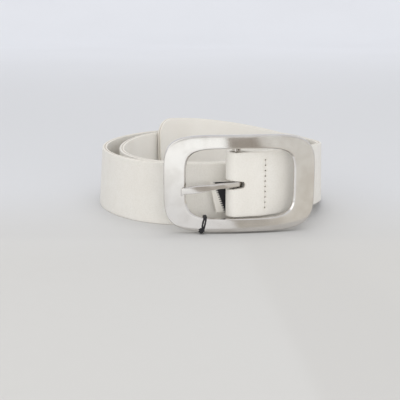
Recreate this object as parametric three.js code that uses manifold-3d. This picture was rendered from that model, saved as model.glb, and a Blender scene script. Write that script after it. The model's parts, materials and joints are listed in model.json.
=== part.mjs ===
// A leather belt coiled on its edge, with a centre-bar buckle. Millimetres, +Z up.
// The strap's edge stands on z = 0, the buckle faces -Y, and the coil turns about a vertical line.
import * as THREE from "three";
import { mergeVertices } from "three/addons/utils/BufferGeometryUtils.js";
import { TessellateModifier } from "three/addons/modifiers/TessellateModifier.js";
import Module from "manifold-3d";

const wasm = await Module();
wasm.setup();

// Strap: three bonded layers, from the wearer's side outwards
const STRAP_WIDTH = 40;
const LINING = 1.0;
const CORE = 0.9;
const FACE = 1.3;
const STRAP_THICKNESS = LINING + CORE + FACE;

// Coil: radius of the outermost face, and the clearance between one turn and the next
const COIL_RADIUS = 78.6;
const TURN_GAP = 0.5;
const TIP_ANGLE = 937; // degrees of coil from the front centre line to the free end
const TURN_DROP = [330, 400]; // a turn slips inside the one before it between these angles
const LEFT_LOOSE = { from: 540, to: 702, depth: 10.8 }; // the second turn bows inwards here
const RIGHT_LOOSE = { from: 396, to: 500, depth: 4 };
const FRONT_PRESS = { from: 318, to: 420, depth: 4.5 }; // the buckle end presses the coil in here
const TIP_SPRING = { from: 905, depth: 1.5 }; // the free end stands off its neighbour
const STEP = 6; // degrees between stations
const FOLD_STATIONS = 12;
const FLAP_STATIONS = 16;
const CUT_MARGIN = 2; // how far a cutting body reaches past what it cuts

// Buckle frame: superellipse outlines, bent about a vertical line
const FRAME_WIDTH = 93;
const FRAME_HEIGHT = 59.8;
const SIDE_RAIL = 13.3;
const CROSS_RAIL = 8.1;
const FRAME_SQUARENESS = 4.7; // exponent of both outlines
const FRAME_THICKNESS = 4;
const FRAME_BEND_RADIUS = 175;
const FRAME_BEVEL = 1.1;
const FRAME_STANDOFF = 15; // middle of the front face, out from the outermost turn's radius
const FRAME_CENTRE = [17.7, -(COIL_RADIUS + FRAME_STANDOFF)]; // from the coil's centre
const FRAME_YAW = 5.2; // degrees
const FRAME_RAISE = 1.0; // clearance under the frame, taken up by the tag cord
const OUTLINE_POINTS = 60;
const LONGEST_FACET = 14;

// Bar, lugs and prong
const BAR_DIAMETER = 3.5;
const BAR_DEPTH = 9.3; // bar axis behind the middle of the front face
const BAR_OFFSET = -1.5; // and to one side of the frame's middle
const BAR_CLEARANCE = 0.06; // radial, in the prong's eye and in the lugs
const LUG_WIDTH = 5.2; // about the bar
const LUG_FACE_WIDTH = 3.6; // at its front
const LUG_WALL = 1.7;
const LUG_RECESS = 4.6; // its front behind the frame's, below the rail
const LUG_ROOT_DEPTH = 2; // and where it joins the rail
const LUG_ROOT_OVERLAP = 1.2;
const LUG_ROOT = 2; // how far a lug stops short of the frame's outer edge
const PIN_HOLE_DIAMETER = 1.5;
const PIN_HOLE_DEPTH = 2;
const PIN_HOLE_UP = 1.15; // above the lug's lower end
const BORE_END = 1; // solid metal left past the bar's end
const PRONG_EYE_HEIGHT = 3.3;
const PRONG_WIDENS = 12; // distance from the bar
const PRONG_WIDEST = { height: 4.7, reach: 26 };
const PRONG_TIP_HEIGHT = 3.9;
const PRONG_DROP = 2.7; // the tip hangs this much lower than the eye
const PRONG_THICKNESS = 2.8;
const PRONG_TIP_THICKNESS = 2.1;
const PRONG_EYE_WALL = 1.5;
const PRONG_OVERHANG = 2.4; // how far the tip lies over the side rail
const PRONG_DROOP_CURVE = 1.3; // exponent of the droop along the shank
const PRONG_STATIONS = 14;
const SEAT_GAP = 0.3;

// Fold round the bar
const STRAP_LIFT = 9.6; // the strap's lower edge where the buckle holds it
const FOLD_RADIUS = 3.6; // inside
const FOLD_SLACK = 0.9;
const FLAP_LENGTH = 24;
const FLAP_CLOSES = 13; // distance from the bar where the two legs meet
const FLAP_GAP = 0.1;
const FLAP_STOPS = 0.5; // and the fold begins
const CORE_STARTS = 6;
const CORE_FULL = 14;
const CORE_THINNEST = 0.35; // share of its thickness at which the core's skived edge stops
const SLOT = { mouth: 7.4, endRadius: 2.1, reach: 3.7 }; // a teardrop that ends past the bar
const LIFT_FALLS = [30, 120]; // the strap comes down to the floor between these angles
const STANDOFF_ENDS = 88; // and lies back on the coil here

// Free end
const TIP_LIFT = 10.8;
const TIP_LIFT_FROM = 822;
const TIP_CORNER = 12;
const HOLE_DIAMETER = 4;
const HOLE_PITCH = 25;
const HOLE_COUNT = 5;
const FIRST_HOLE = 95; // from the tip

// Sewing, tape, backing strip and tag cord
const STITCH_FROM_BAR = 16.3;
const STITCH_PITCH = 3.3;
const STITCH_COUNT = 10;
const THREAD = 0.7;
const NEEDLE_HOLE = 1.3;
const TAPE = { thickness: 0.5, top: 13.6, bottom: 6.4, tooth: 2.4, toothDepth: 1.6 };
const BACKING = { thickness: 0.8, top: 14.6, bottom: 11.4 };
const SHEET_GAP = 0.1;
const SHEET_SPARE = 4; // the cutting body past a sheet's edge; the sheet is made half as long
const SLANT_CUT_DEPTH = 8;
const SHEET_BOTTOM = STRAP_LIFT + 0.4;
const SHEET_TOP = STRAP_LIFT + 20;
const CORD_DIAMETER = 0.85;
const CORD_SPACING = 1.25;
const CORD_GAP = 0.12;
const CORD_FROM_CENTRE = -22.8;
const CORD_LEAN = 2.4; // sideways, from the bottom of the loops to the top
const CORD_BEND = 1.4;
const KNOT_RADIUS = 0.98;
const KNOT_HEIGHT = 1.5; // above the bottom of the loops

const RAD = Math.PI / 180;
const FRAME_MIDDLE = FRAME_RAISE + FRAME_HEIGHT / 2;
const STRAP_MIDDLE = STRAP_LIFT + STRAP_WIDTH / 2;
const OPENING_HEIGHT = FRAME_HEIGHT - 2 * CROSS_RAIL;
const OPENING_WIDTH = FRAME_WIDTH - 2 * SIDE_RAIL;
const BAR_RADIUS = BAR_DIAMETER / 2;

const yaw = FRAME_YAW * RAD;
const BAR_X = FRAME_CENTRE[0] + BAR_OFFSET * Math.cos(yaw) - BAR_DEPTH * Math.sin(yaw);
const BAR_Y = FRAME_CENTRE[1] + BAR_OFFSET * Math.sin(yaw) + BAR_DEPTH * Math.cos(yaw);
const BAR_REACH = Math.hypot(BAR_X, BAR_Y);
const BAR_ANGLE = Math.atan2(BAR_X, -BAR_Y) / RAD;

const smooth = (t) => {
  const k = Math.min(1, Math.max(0, t));
  return k * k * (3 - 2 * k);
};
const between = (value, [from, to]) => smooth((value - from) / (to - from));
// One smooth swelling, zero at both ends.
const swell = (value, { from, to, depth }) => {
  const t = (value - from) / (to - from);
  return t <= 0 || t >= 1 ? 0 : depth * Math.sin(Math.PI * t) ** 2;
};

// ---- solids -------------------------------------------------------------------------------------

function solidOf(geometry) {
  const g = geometry.clone();
  g.deleteAttribute("normal");
  g.deleteAttribute("uv");
  const merged = mergeVertices(g, 1e-4);
  return new wasm.Manifold(
    new wasm.Mesh({
      numProp: 3,
      vertProperties: new Float32Array(merged.attributes.position.array),
      triVerts: new Uint32Array(merged.index.array),
    }),
  );
}

function meshOf(name, solid, colour, roughness, metalness) {
  const m = solid.getMesh();
  const g = new THREE.BufferGeometry();
  g.setAttribute("position", new THREE.BufferAttribute(new Float32Array(m.vertProperties), 3));
  g.setIndex(new THREE.BufferAttribute(new Uint32Array(m.triVerts), 1));
  g.computeVertexNormals();
  const mesh = new THREE.Mesh(
    g,
    new THREE.MeshStandardMaterial({ color: colour, roughness, metalness }),
  );
  mesh.name = name;
  return mesh;
}

// A matrix with the given X, Y and Z directions and origin.
function placed(x, y, z, origin) {
  const m = new THREE.Matrix4().makeBasis(
    new THREE.Vector3(...x),
    new THREE.Vector3(...y),
    new THREE.Vector3(...z),
  );
  return m.setPosition(...origin);
}

// The buckle's own frame: x to the right along the frame, y inwards from its front face, z up.
const BUCKLE = placed(
  [Math.cos(yaw), Math.sin(yaw), 0],
  [-Math.sin(yaw), Math.cos(yaw), 0],
  [0, 0, 1],
  [FRAME_CENTRE[0], FRAME_CENTRE[1], 0],
);

// ---- the strap's run ----------------------------------------------------------------------------

// How far the outer face lies inside the coil's radius at an angle.
function inset(angle) {
  const pitch = STRAP_THICKNESS + TURN_GAP;
  const first = between(angle, TURN_DROP);
  const second = between(angle - 360, TURN_DROP);
  const loose = (a) => swell(a, RIGHT_LOOSE) + swell(a, LEFT_LOOSE);
  const tip = TIP_SPRING.depth * smooth((angle - TIP_SPRING.from) / (TIP_ANGLE - TIP_SPRING.from));
  // a third turn follows the second wherever that one bows inwards
  const pressed = swell(angle, FRONT_PRESS) + swell(angle - 360, FRONT_PRESS);
  return pitch * (first + second) + loose(angle) + loose(angle - 360) + pressed + tip;
}

// How far the strap's wearer's side stands off the coil near the buckle.
function standoff(angle) {
  const full = BAR_REACH + FOLD_RADIUS - (COIL_RADIUS - STRAP_THICKNESS);
  return full * (1 - between(angle, [BAR_ANGLE, STANDOFF_ENDS]));
}

function lift(angle) {
  const atBuckle = STRAP_LIFT * (1 - between(angle, LIFT_FALLS));
  const atTip = TIP_LIFT * between(angle, [TIP_LIFT_FROM, TIP_ANGLE]);
  return atBuckle + atTip;
}

// A point on the wearer's side of the strap at a coil angle, moved outwards by out.
function coilPoint(angle, out = 0) {
  const r = COIL_RADIUS - STRAP_THICKNESS - inset(angle) + standoff(angle) + out;
  return [r * Math.sin(angle * RAD), -r * Math.cos(angle * RAD)];
}

const FRONT_REACH = BAR_REACH + FOLD_RADIUS;
const angleAt = (fromBar) => BAR_ANGLE + fromBar / FRONT_REACH / RAD;

// Directions at the bar: along the strap towards the coil, and outwards.
const ALONG = [Math.cos(BAR_ANGLE * RAD), Math.sin(BAR_ANGLE * RAD)];
const OUT = [Math.sin(BAR_ANGLE * RAD), -Math.cos(BAR_ANGLE * RAD)];
const atBar = (along, out) => [
  BAR_X + along * ALONG[0] + out * OUT[0],
  BAR_Y + along * ALONG[1] + out * OUT[1],
];

// The flap behind the bar: it leaves the front leg by a widening gap.
function flapPoint(fromBar) {
  const gap = FLAP_GAP + (2 * FOLD_RADIUS - FLAP_GAP) * (1 - smooth(fromBar / FLAP_CLOSES));
  return coilPoint(angleAt(fromBar), -gap);
}

// Adds to each point the right-hand normal of the run, which is the face side of the strap.
function withNormals(points) {
  return points.map((p, i) => {
    const a = points[Math.max(0, i - 1)].at;
    const b = points[Math.min(points.length - 1, i + 1)].at;
    const length = Math.hypot(b[0] - a[0], b[1] - a[1]);
    return { ...p, normal: [(b[1] - a[1]) / length, -(b[0] - a[0]) / length] };
  });
}

// The whole run on the wearer's side: flap, fold, front leg, coil, free end.
function strapRun() {
  const run = [];
  const add = (at, rise, core) => run.push({ at, rise, core });
  for (let u = FLAP_LENGTH; u > FLAP_STOPS; u -= FLAP_LENGTH / FLAP_STATIONS) add(flapPoint(u), STRAP_LIFT, 0);
  add(atBar(0, -FOLD_RADIUS), STRAP_LIFT, 0);
  for (let i = 0; i <= FOLD_STATIONS; i += 1) {
    const t = (Math.PI * i) / FOLD_STATIONS;
    const along = -FOLD_SLACK - FOLD_RADIUS * Math.sin(t);
    add(atBar(along, -FOLD_RADIUS * Math.cos(t)), STRAP_LIFT, 0);
  }
  for (let u = 0; u < FLAP_LENGTH; u += 2) {
    add(coilPoint(angleAt(u)), STRAP_LIFT, smooth((u - CORE_STARTS) / (CORE_FULL - CORE_STARTS)));
  }
  const first = Math.ceil(angleAt(FLAP_LENGTH) / STEP) * STEP;
  for (let a = first; a < TIP_ANGLE - 1; a += STEP) add(coilPoint(a), lift(a), 1);
  add(coilPoint(TIP_ANGLE), lift(TIP_ANGLE), 1);
  return withNormals(run);
}

const offset = (p, d) => [p.at[0] + p.normal[0] * d, p.at[1] + p.normal[1] * d];

// A ribbon between two offsets of a run, standing on its edge: its outline in plan, extruded
// upwards, then raised station by station.
function ribbon(run, inner, outer, bottom, height) {
  const rises = new Map();
  const key = (x, y) => Math.fround(x) + "," + Math.fround(y);
  const side = (d) =>
    run.map((p) => {
      const [x, y] = offset(p, d(p));
      rises.set(key(x, y), p.rise);
      return new THREE.Vector2(x, y);
    });
  const outline = [...side(outer), ...side(inner).reverse()];
  const g = new THREE.ExtrudeGeometry(new THREE.Shape(outline), {
    depth: height,
    bevelEnabled: false,
  });
  const position = g.getAttribute("position");
  for (let i = 0; i < position.count; i += 1) {
    const rise = rises.get(key(position.getX(i), position.getY(i)));
    position.setZ(i, position.getZ(i) + bottom + rise);
  }
  return solidOf(g);
}

// ---- cuts in the strap --------------------------------------------------------------------------

// A cylinder through the strap at a coil angle, along its normal, between two offsets.
function punch(angle, height, diameter, from, to, sides = 8) {
  const g = new THREE.CylinderGeometry(diameter / 2, diameter / 2, to - from, sides);
  const out = [Math.sin(angle * RAD), -Math.cos(angle * RAD), 0];
  const along = [Math.cos(angle * RAD), Math.sin(angle * RAD), 0];
  const [x, y] = coilPoint(angle, (from + to) / 2);
  return solidOf(g.applyMatrix4(placed([0, 0, 1], out, along, [x, y, height])));
}

function adjustingHoles() {
  const clear = TURN_GAP / 2;
  let cut = null;
  const reach = COIL_RADIUS - inset(TIP_ANGLE - 90);
  for (let i = 0; i < HOLE_COUNT; i += 1) {
    const angle = TIP_ANGLE - (FIRST_HOLE + i * HOLE_PITCH) / reach / RAD;
    const z = lift(angle) + STRAP_WIDTH / 2;
    const hole = punch(angle, z, HOLE_DIAMETER, -clear, STRAP_THICKNESS + clear, 14);
    cut = cut ? cut.add(hole) : hole;
  }
  return cut;
}

// The two corners taken off the free end, each a square less a quarter circle.
function tipCorners() {
  const r = TIP_CORNER;
  const beyond = CUT_MARGIN;
  const corner = new THREE.Shape();
  corner.moveTo(beyond, -beyond);
  corner.lineTo(beyond, r);
  corner.lineTo(0, r);
  corner.absarc(-r, r, r, 0, -Math.PI / 2, true);
  corner.lineTo(-r, -beyond);
  corner.closePath();
  const clear = TIP_SPRING.depth * 0.6;
  const depth = STRAP_THICKNESS + 2 * clear;
  const middle = TIP_ANGLE - (r / 2 / COIL_RADIUS) / RAD;
  const out = [Math.sin(middle * RAD), -Math.cos(middle * RAD), 0];
  const along = [Math.cos(middle * RAD), Math.sin(middle * RAD), 0];
  const [x, y] = coilPoint(middle, -clear);
  const shift = r / 2;
  const base = [x + along[0] * shift, y + along[1] * shift];
  const make = (up, z) => {
    const g = new THREE.ExtrudeGeometry(corner, { depth, bevelEnabled: false, curveSegments: 8 });
    const m = placed(along, [0, 0, up], out, [base[0], base[1], z]);
    g.applyMatrix4(m);
    const solid = solidOf(g);
    return solid.volume() < 0 ? flipped(g) : solid;
  };
  const bottom = lift(TIP_ANGLE);
  return make(1, bottom).add(make(-1, bottom + STRAP_WIDTH));
}

// The same solid from a mirrored geometry, with its faces turned outwards again.
function flipped(geometry) {
  const g = geometry.index ? geometry.toNonIndexed() : geometry.clone();
  const p = g.getAttribute("position").array;
  for (let i = 0; i < p.length; i += 9) {
    for (let k = 0; k < 3; k += 1) [p[i + 3 + k], p[i + 6 + k]] = [p[i + 6 + k], p[i + 3 + k]];
  }
  return solidOf(g);
}

// The slot that lets the prong through both legs of the fold: a round end, and straight sides that
// open towards the fold.
function prongSlot() {
  const left = FOLD_SLACK + FOLD_RADIUS + STRAP_THICKNESS + CUT_MARGIN;
  const end = SLOT.reach - SLOT.endRadius;
  const shape = new THREE.Shape();
  shape.moveTo(-left, -SLOT.mouth / 2);
  shape.lineTo(end, -SLOT.endRadius);
  shape.absarc(end, 0, SLOT.endRadius, -Math.PI / 2, Math.PI / 2, false);
  shape.lineTo(-left, SLOT.mouth / 2);
  shape.closePath();
  const reach = FOLD_RADIUS + STRAP_THICKNESS + CUT_MARGIN;
  const g = new THREE.ExtrudeGeometry(shape, { depth: 2 * reach, bevelEnabled: false });
  // it runs from the far side of the flap out through the front leg
  const [x, y] = atBar(0, -reach);
  g.applyMatrix4(
    placed([ALONG[0], ALONG[1], 0], [0, 0, 1], [OUT[0], OUT[1], 0], [x, y, STRAP_MIDDLE]),
  );
  return solidOf(g);
}

const STITCH_ANGLE = angleAt(STITCH_FROM_BAR);
const STITCH_OUT = [Math.sin(STITCH_ANGLE * RAD), -Math.cos(STITCH_ANGLE * RAD)];
// Offsets, from the wearer's side of the front leg, of what the needle goes through
const FRONT_SURFACE = STRAP_THICKNESS;
const FLAP_BACK = -(FLAP_GAP + LINING + FACE);
const TAPE_BACK = FLAP_BACK - SHEET_GAP - TAPE.thickness;
const BACKING_BACK = TAPE_BACK - SHEET_GAP - BACKING.thickness;
const FRONT_THREAD = FRONT_SURFACE + SEAT_GAP / 2 + THREAD / 2;
const REAR_THREAD = BACKING_BACK - SEAT_GAP / 2 - THREAD / 2;

const stitchHeights = Array.from(
  { length: STITCH_COUNT },
  (_, i) => STRAP_MIDDLE + (i - (STITCH_COUNT - 1) / 2) * STITCH_PITCH,
);

function needleHoles() {
  return stitchHeights
    .map((z) => punch(STITCH_ANGLE, z, NEEDLE_HOLE, BACKING_BACK - 1, FRONT_SURFACE + 1))
    .reduce((all, hole) => all.add(hole));
}

// ---- pieces -------------------------------------------------------------------------------------

const run = strapRun();
const slot = prongSlot();
const needles = needleHoles();
const holes = adjustingHoles();
const corners = tipCorners();
const cuts = slot.add(needles).add(holes).add(corners);
const cutStrap = (solid) => solid.subtract(cuts);

function strapLining() {
  return cutStrap(ribbon(run, () => 0, () => LINING, 0, STRAP_WIDTH));
}

function strapCore() {
  const stretch = run.filter((p) => p.core > CORE_THINNEST);
  return cutStrap(ribbon(stretch, () => LINING, (p) => LINING + CORE * p.core, 0, STRAP_WIDTH));
}

function strapFace() {
  const inner = (p) => LINING + CORE * p.core;
  return cutStrap(ribbon(run, inner, (p) => inner(p) + FACE, 0, STRAP_WIDTH));
}

// The run of a sheet under the flap: along the flap's back, then straight on past the fold.
function sheetRun(reach) {
  const flap = run.slice(0, run.findIndex((p) => p.core > 0)).filter((p) => {
    const d = (p.at[0] - BAR_X) * ALONG[0] + (p.at[1] - BAR_Y) * ALONG[1];
    const o = (p.at[0] - BAR_X) * OUT[0] + (p.at[1] - BAR_Y) * OUT[1];
    return d > FLAP_STOPS && o < FOLD_RADIUS - FLAP_STOPS;
  });
  const points = flap.map((p) => ({ at: p.at, rise: 0 }));
  points.push({ at: atBar(0, -FOLD_RADIUS), rise: 0 });
  points.push({ at: atBar(-reach, -FOLD_RADIUS), rise: 0 });
  return withNormals(points);
}

// Cuts a sheet's free edge to a slanting line, with or without pinked teeth.
function slantCut(edge, tooth, toothDepth) {
  const height = SHEET_TOP - SHEET_BOTTOM;
  const count = tooth ? Math.round(height / tooth) : 1;
  const depth = tooth ? toothDepth : 0;
  const shape = new THREE.Shape();
  const at = (t) => -(edge.bottom + (edge.top - edge.bottom) * t);
  shape.moveTo(-edge.top - SHEET_SPARE, -CUT_MARGIN);
  shape.lineTo(at(0), -CUT_MARGIN);
  for (let i = 0; i < count; i += 1) {
    shape.lineTo(at(i / count), (height * i) / count);
    if (depth) shape.lineTo(at((i + 0.5) / count) + depth, (height * (i + 0.5)) / count);
  }
  shape.lineTo(at(1), height);
  shape.lineTo(at(1), height + CUT_MARGIN);
  shape.lineTo(-edge.top - SHEET_SPARE, height + CUT_MARGIN);
  shape.closePath();
  const reach = SLANT_CUT_DEPTH;
  const g = new THREE.ExtrudeGeometry(shape, { depth: reach, bevelEnabled: false });
  const [x, y] = atBar(0, -FOLD_RADIUS - reach);
  g.applyMatrix4(
    placed([ALONG[0], ALONG[1], 0], [0, 0, 1], [OUT[0], OUT[1], 0], [x, y, SHEET_BOTTOM]),
  );
  const made = solidOf(g);
  return made.volume() < 0 ? flipped(g) : made;
}

function foldSheet(edge, from, tooth, toothDepth) {
  const reach = edge.top + SHEET_SPARE / 2;
  const stretch = sheetRun(reach);
  const sheet = ribbon(
    stretch,
    () => from,
    () => from + edge.thickness,
    SHEET_BOTTOM,
    SHEET_TOP - SHEET_BOTTOM,
  );
  return sheet.subtract(slantCut(edge, tooth, toothDepth)).subtract(needles);
}

const TAPE_FROM = LINING + FACE + SHEET_GAP;
const foldTape = () => foldSheet(TAPE, TAPE_FROM, TAPE.tooth, TAPE.toothDepth);
const foldBacking = () => foldSheet(BACKING, TAPE_FROM + TAPE.thickness + SHEET_GAP, 0, 0);

// The lock stitch: a thread down each side, joined through the needle holes.
function stitchThread() {
  const stretch = (STITCH_COUNT - 1) * STITCH_PITCH;
  const post = (out) => {
    const g = new THREE.CylinderGeometry(THREAD / 2, THREAD / 2, stretch + THREAD, 8);
    const [x, y] = coilPoint(STITCH_ANGLE, out);
    return solidOf(g.rotateX(Math.PI / 2).translate(x, y, STRAP_MIDDLE));
  };
  let thread = post(FRONT_THREAD).add(post(REAR_THREAD));
  for (const z of stitchHeights) {
    thread = thread.add(punch(STITCH_ANGLE, z, THREAD * 0.8, REAR_THREAD, FRONT_THREAD, 6));
  }
  return thread;
}

// One outline of the frame: a superellipse in x and height.
function superellipse(width, height, points) {
  return Array.from({ length: points }, (_, i) => {
    const t = (2 * Math.PI * i) / points;
    const c = Math.cos(t);
    const s = Math.sin(t);
    const n = FRAME_SQUARENESS;
    const r = (Math.abs((2 * c) / width) ** n + Math.abs((2 * s) / height) ** n) ** (-1 / n);
    return new THREE.Vector2(r * c, r * s);
  });
}

// Half the height of such an outline at a distance from its middle.
function halfHeight(x, width, height) {
  const n = FRAME_SQUARENESS;
  return (height / 2) * (1 - Math.abs((2 * x) / width) ** n) ** (1 / n);
}

// Front surface of the bent frame, behind the plane that touches its middle.
const bend = (x) => (x * x) / (2 * FRAME_BEND_RADIUS);

function frameRing() {
  const outer = superellipse(
    FRAME_WIDTH - 2 * FRAME_BEVEL,
    FRAME_HEIGHT - 2 * FRAME_BEVEL,
    OUTLINE_POINTS,
  );
  const inner = superellipse(
    OPENING_WIDTH + 2 * FRAME_BEVEL,
    OPENING_HEIGHT + 2 * FRAME_BEVEL,
    OUTLINE_POINTS,
  );
  const ring = new THREE.Shape(outer);
  ring.holes.push(new THREE.Path(inner.reverse()));
  const flat = new THREE.ExtrudeGeometry(ring, {
    depth: FRAME_THICKNESS - 2 * FRAME_BEVEL,
    bevelEnabled: true,
    bevelSize: FRAME_BEVEL,
    bevelThickness: FRAME_BEVEL,
    bevelSegments: 2,
  });
  // long facets are split first, so that the faces can follow the bend
  const g = new TessellateModifier(LONGEST_FACET, 8).modify(flat);
  // the outline stands up, its depth runs inwards, and the plate bends about a vertical line
  g.rotateX(Math.PI / 2).translate(0, FRAME_THICKNESS - FRAME_BEVEL, FRAME_MIDDLE);
  const p = g.getAttribute("position");
  for (let i = 0; i < p.count; i += 1) p.setY(i, p.getY(i) + bend(p.getX(i)));
  return solidOf(g);
}

const LUG_BACK = BAR_DEPTH + BAR_RADIUS + LUG_WALL;
const OPENING_TOP = FRAME_MIDDLE + OPENING_HEIGHT / 2;
const OPENING_BOTTOM = FRAME_MIDDLE - OPENING_HEIGHT / 2;
const LUG_LOW = STRAP_LIFT + STRAP_WIDTH + SEAT_GAP;
const LUG_HIGH = OPENING_TOP + CROSS_RAIL - LUG_ROOT;
const FOOT_HIGH = STRAP_LIFT - SEAT_GAP;
const FOOT_LOW = OPENING_BOTTOM - CROSS_RAIL + LUG_ROOT;

// A lug in plan: narrow in front, widening to hold the bar.
function lugStep(low, high, recess) {
  const front = LUG_FACE_WIDTH / 2;
  const side = LUG_WIDTH / 2;
  const shoulder = BAR_DEPTH - BAR_RADIUS - LUG_WALL;
  const plan = new THREE.Shape();
  plan.moveTo(-front, recess);
  plan.lineTo(front, recess);
  plan.lineTo(side, shoulder);
  plan.lineTo(side, LUG_BACK);
  plan.lineTo(-side, LUG_BACK);
  plan.lineTo(-side, shoulder);
  plan.closePath();
  const g = new THREE.ExtrudeGeometry(plan, { depth: high - low, bevelEnabled: false });
  return solidOf(g.translate(BAR_OFFSET, 0, low));
}

// A lug between two heights; from rootLow to rootHigh it reaches forward into the rail.
function lug(low, high, rootLow, rootHigh) {
  return lugStep(low, high, LUG_RECESS).add(lugStep(rootLow, rootHigh, LUG_ROOT_DEPTH));
}

function buckleFrame() {
  const boreLow = FOOT_LOW + BORE_END;
  const boreHigh = LUG_HIGH - BORE_END;
  const r = BAR_RADIUS + BAR_CLEARANCE;
  const bore = new THREE.CylinderGeometry(r, r, boreHigh - boreLow, 24);
  bore.rotateX(Math.PI / 2).translate(BAR_OFFSET, BAR_DEPTH, (boreLow + boreHigh) / 2);
  const pinRadius = PIN_HOLE_DIAMETER / 2;
  const pin = new THREE.CylinderGeometry(pinRadius, pinRadius, 2 * PIN_HOLE_DEPTH, 12);
  pin.translate(BAR_OFFSET, LUG_RECESS, LUG_LOW + PIN_HOLE_UP);
  return frameRing()
    .add(lug(LUG_LOW, LUG_HIGH, OPENING_TOP + LUG_ROOT_OVERLAP, LUG_HIGH))
    .add(lug(FOOT_LOW, FOOT_HIGH, FOOT_LOW, OPENING_BOTTOM - LUG_ROOT_OVERLAP))
    .subtract(solidOf(bore))
    .subtract(solidOf(pin));
}

function buckleBar() {
  const low = FOOT_LOW + BORE_END + SEAT_GAP;
  const high = LUG_HIGH - BORE_END - SEAT_GAP;
  const g = new THREE.CylinderGeometry(BAR_RADIUS, BAR_RADIUS, high - low, 24);
  return solidOf(g.rotateX(Math.PI / 2).translate(BAR_OFFSET, BAR_DEPTH, (low + high) / 2));
}

const PRONG_REACH = OPENING_WIDTH / 2 + PRONG_OVERHANG + BAR_OFFSET;

// The prong's height at a distance from the bar: narrow at the eye and the tip.
function prongHeight(reach) {
  const { height, reach: widest } = PRONG_WIDEST;
  const rise = (height - PRONG_EYE_HEIGHT) * between(reach, [PRONG_WIDENS, widest]);
  const fall = (height - PRONG_TIP_HEIGHT) * between(reach, [widest, PRONG_REACH]);
  return PRONG_EYE_HEIGHT + rise - fall;
}

// Its middle hangs lower towards the tip.
function prongMiddle(reach) {
  return STRAP_MIDDLE - PRONG_DROP * Math.max(0, reach / PRONG_REACH) ** PRONG_DROOP_CURVE;
}

// The prong: an eye on the bar and a bowed shank whose tip lies on the side rail. Distances along
// the shank are measured from the bar, to the left.
function buckleProng() {
  const eye = BAR_RADIUS + BAR_CLEARANCE + PRONG_EYE_WALL;
  const seatReach = OPENING_WIDTH / 2 + FRAME_BEVEL + BAR_OFFSET;
  const seat = (reach) => bend(BAR_OFFSET - reach) - SEAT_GAP;
  // back of the shank: a smooth climb from the eye, then down along the rail's front face
  const back = (reach) => {
    const climb = Math.sin((Math.PI / 2) * Math.min(1, reach / seatReach));
    return reach > seatReach ? seat(reach) : BAR_DEPTH + (seat(seatReach) - BAR_DEPTH) * climb;
  };
  const thickness = (reach) =>
    PRONG_THICKNESS + ((PRONG_TIP_THICKNESS - PRONG_THICKNESS) * reach) / PRONG_REACH;
  const reaches = Array.from(
    { length: PRONG_STATIONS + 1 },
    (_, i) => (PRONG_REACH * i) / PRONG_STATIONS,
  );
  const plan = new THREE.Shape();
  reaches.forEach((r, i) => (i ? plan.lineTo(-r, back(r)) : plan.moveTo(-r, back(r))));
  const tip = PRONG_TIP_THICKNESS / 2;
  const tipDepth = back(PRONG_REACH) - tip;
  plan.absarc(-PRONG_REACH, tipDepth, tip, Math.PI / 2, (3 * Math.PI) / 2, false);
  [...reaches].reverse().slice(1).forEach((r) => plan.lineTo(-r, back(r) - thickness(r)));
  plan.closePath();
  const shank = new THREE.ExtrudeGeometry(plan, {
    depth: 1,
    bevelEnabled: false,
    curveSegments: 8,
  });
  const p = shank.getAttribute("position");
  for (let i = 0; i < p.count; i += 1) {
    const reach = -p.getX(i);
    p.setX(i, BAR_OFFSET - reach);
    p.setZ(i, prongMiddle(reach) + (p.getZ(i) - 0.5) * prongHeight(reach));
  }
  const disc = (r, height) =>
    solidOf(
      new THREE.CylinderGeometry(r, r, height, 24)
        .rotateX(Math.PI / 2)
        .translate(BAR_OFFSET, BAR_DEPTH, STRAP_MIDDLE),
    );
  return solidOf(shank)
    .add(disc(eye, PRONG_EYE_HEIGHT))
    .subtract(disc(BAR_RADIUS + BAR_CLEARANCE, PRONG_EYE_HEIGHT + CUT_MARGIN));
}

// A loop of thin cord, wound twice round the lower rail with a slight lean, and tied in front.
function tagCord() {
  // the loops clear the rail at both sides of the cord, where it is nearest and furthest
  const spread = (CORD_SPACING + CORD_DIAMETER + CORD_LEAN) / 2;
  const near = Math.abs(CORD_FROM_CENTRE) - spread;
  const far = Math.abs(CORD_FROM_CENTRE) + spread;
  const reach = CORD_GAP + CORD_DIAMETER;
  const low = FRAME_MIDDLE - halfHeight(near, FRAME_WIDTH, FRAME_HEIGHT) - reach;
  const high = FRAME_MIDDLE - halfHeight(far, OPENING_WIDTH, OPENING_HEIGHT) + reach;
  const front = bend(near) - reach;
  const back = bend(far) + FRAME_THICKNESS + reach;
  const slope = CORD_LEAN / (high - low);
  const across = CORD_FROM_CENTRE - (slope * (low + high)) / 2;
  const leaning = placed([1, 0, 0], [0, 1, 0], [slope, 0, 1], [across, 0, 0]);
  const lean = (g) => solidOf(g.applyMatrix4(leaning));
  const wall = CORD_DIAMETER;
  const loop = (at) => {
    const outer = roundedBox(front, low, back, high, CORD_BEND);
    const inside = CORD_BEND - wall;
    outer.holes.push(roundedBox(front + wall, low + wall, back - wall, high - wall, inside));
    const g = new THREE.ExtrudeGeometry(outer, {
      depth: wall,
      bevelEnabled: false,
      curveSegments: 4,
    });
    // outline's x becomes depth and its y becomes height
    return lean(g.applyMatrix4(placed([0, 1, 0], [0, 0, 1], [1, 0, 0], [at - wall / 2, 0, 0])));
  };
  const knotHeight = low + KNOT_HEIGHT;
  const knot = new THREE.SphereGeometry(KNOT_RADIUS, 12, 8).translate(0, front, knotHeight);
  const bridge = new THREE.BoxGeometry(CORD_SPACING, wall, wall);
  bridge.translate(0, front + wall / 2, high - CORD_BEND - wall / 2);
  return loop(-CORD_SPACING / 2)
    .add(loop(CORD_SPACING / 2))
    .add(lean(bridge))
    .add(lean(knot));
}

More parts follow.
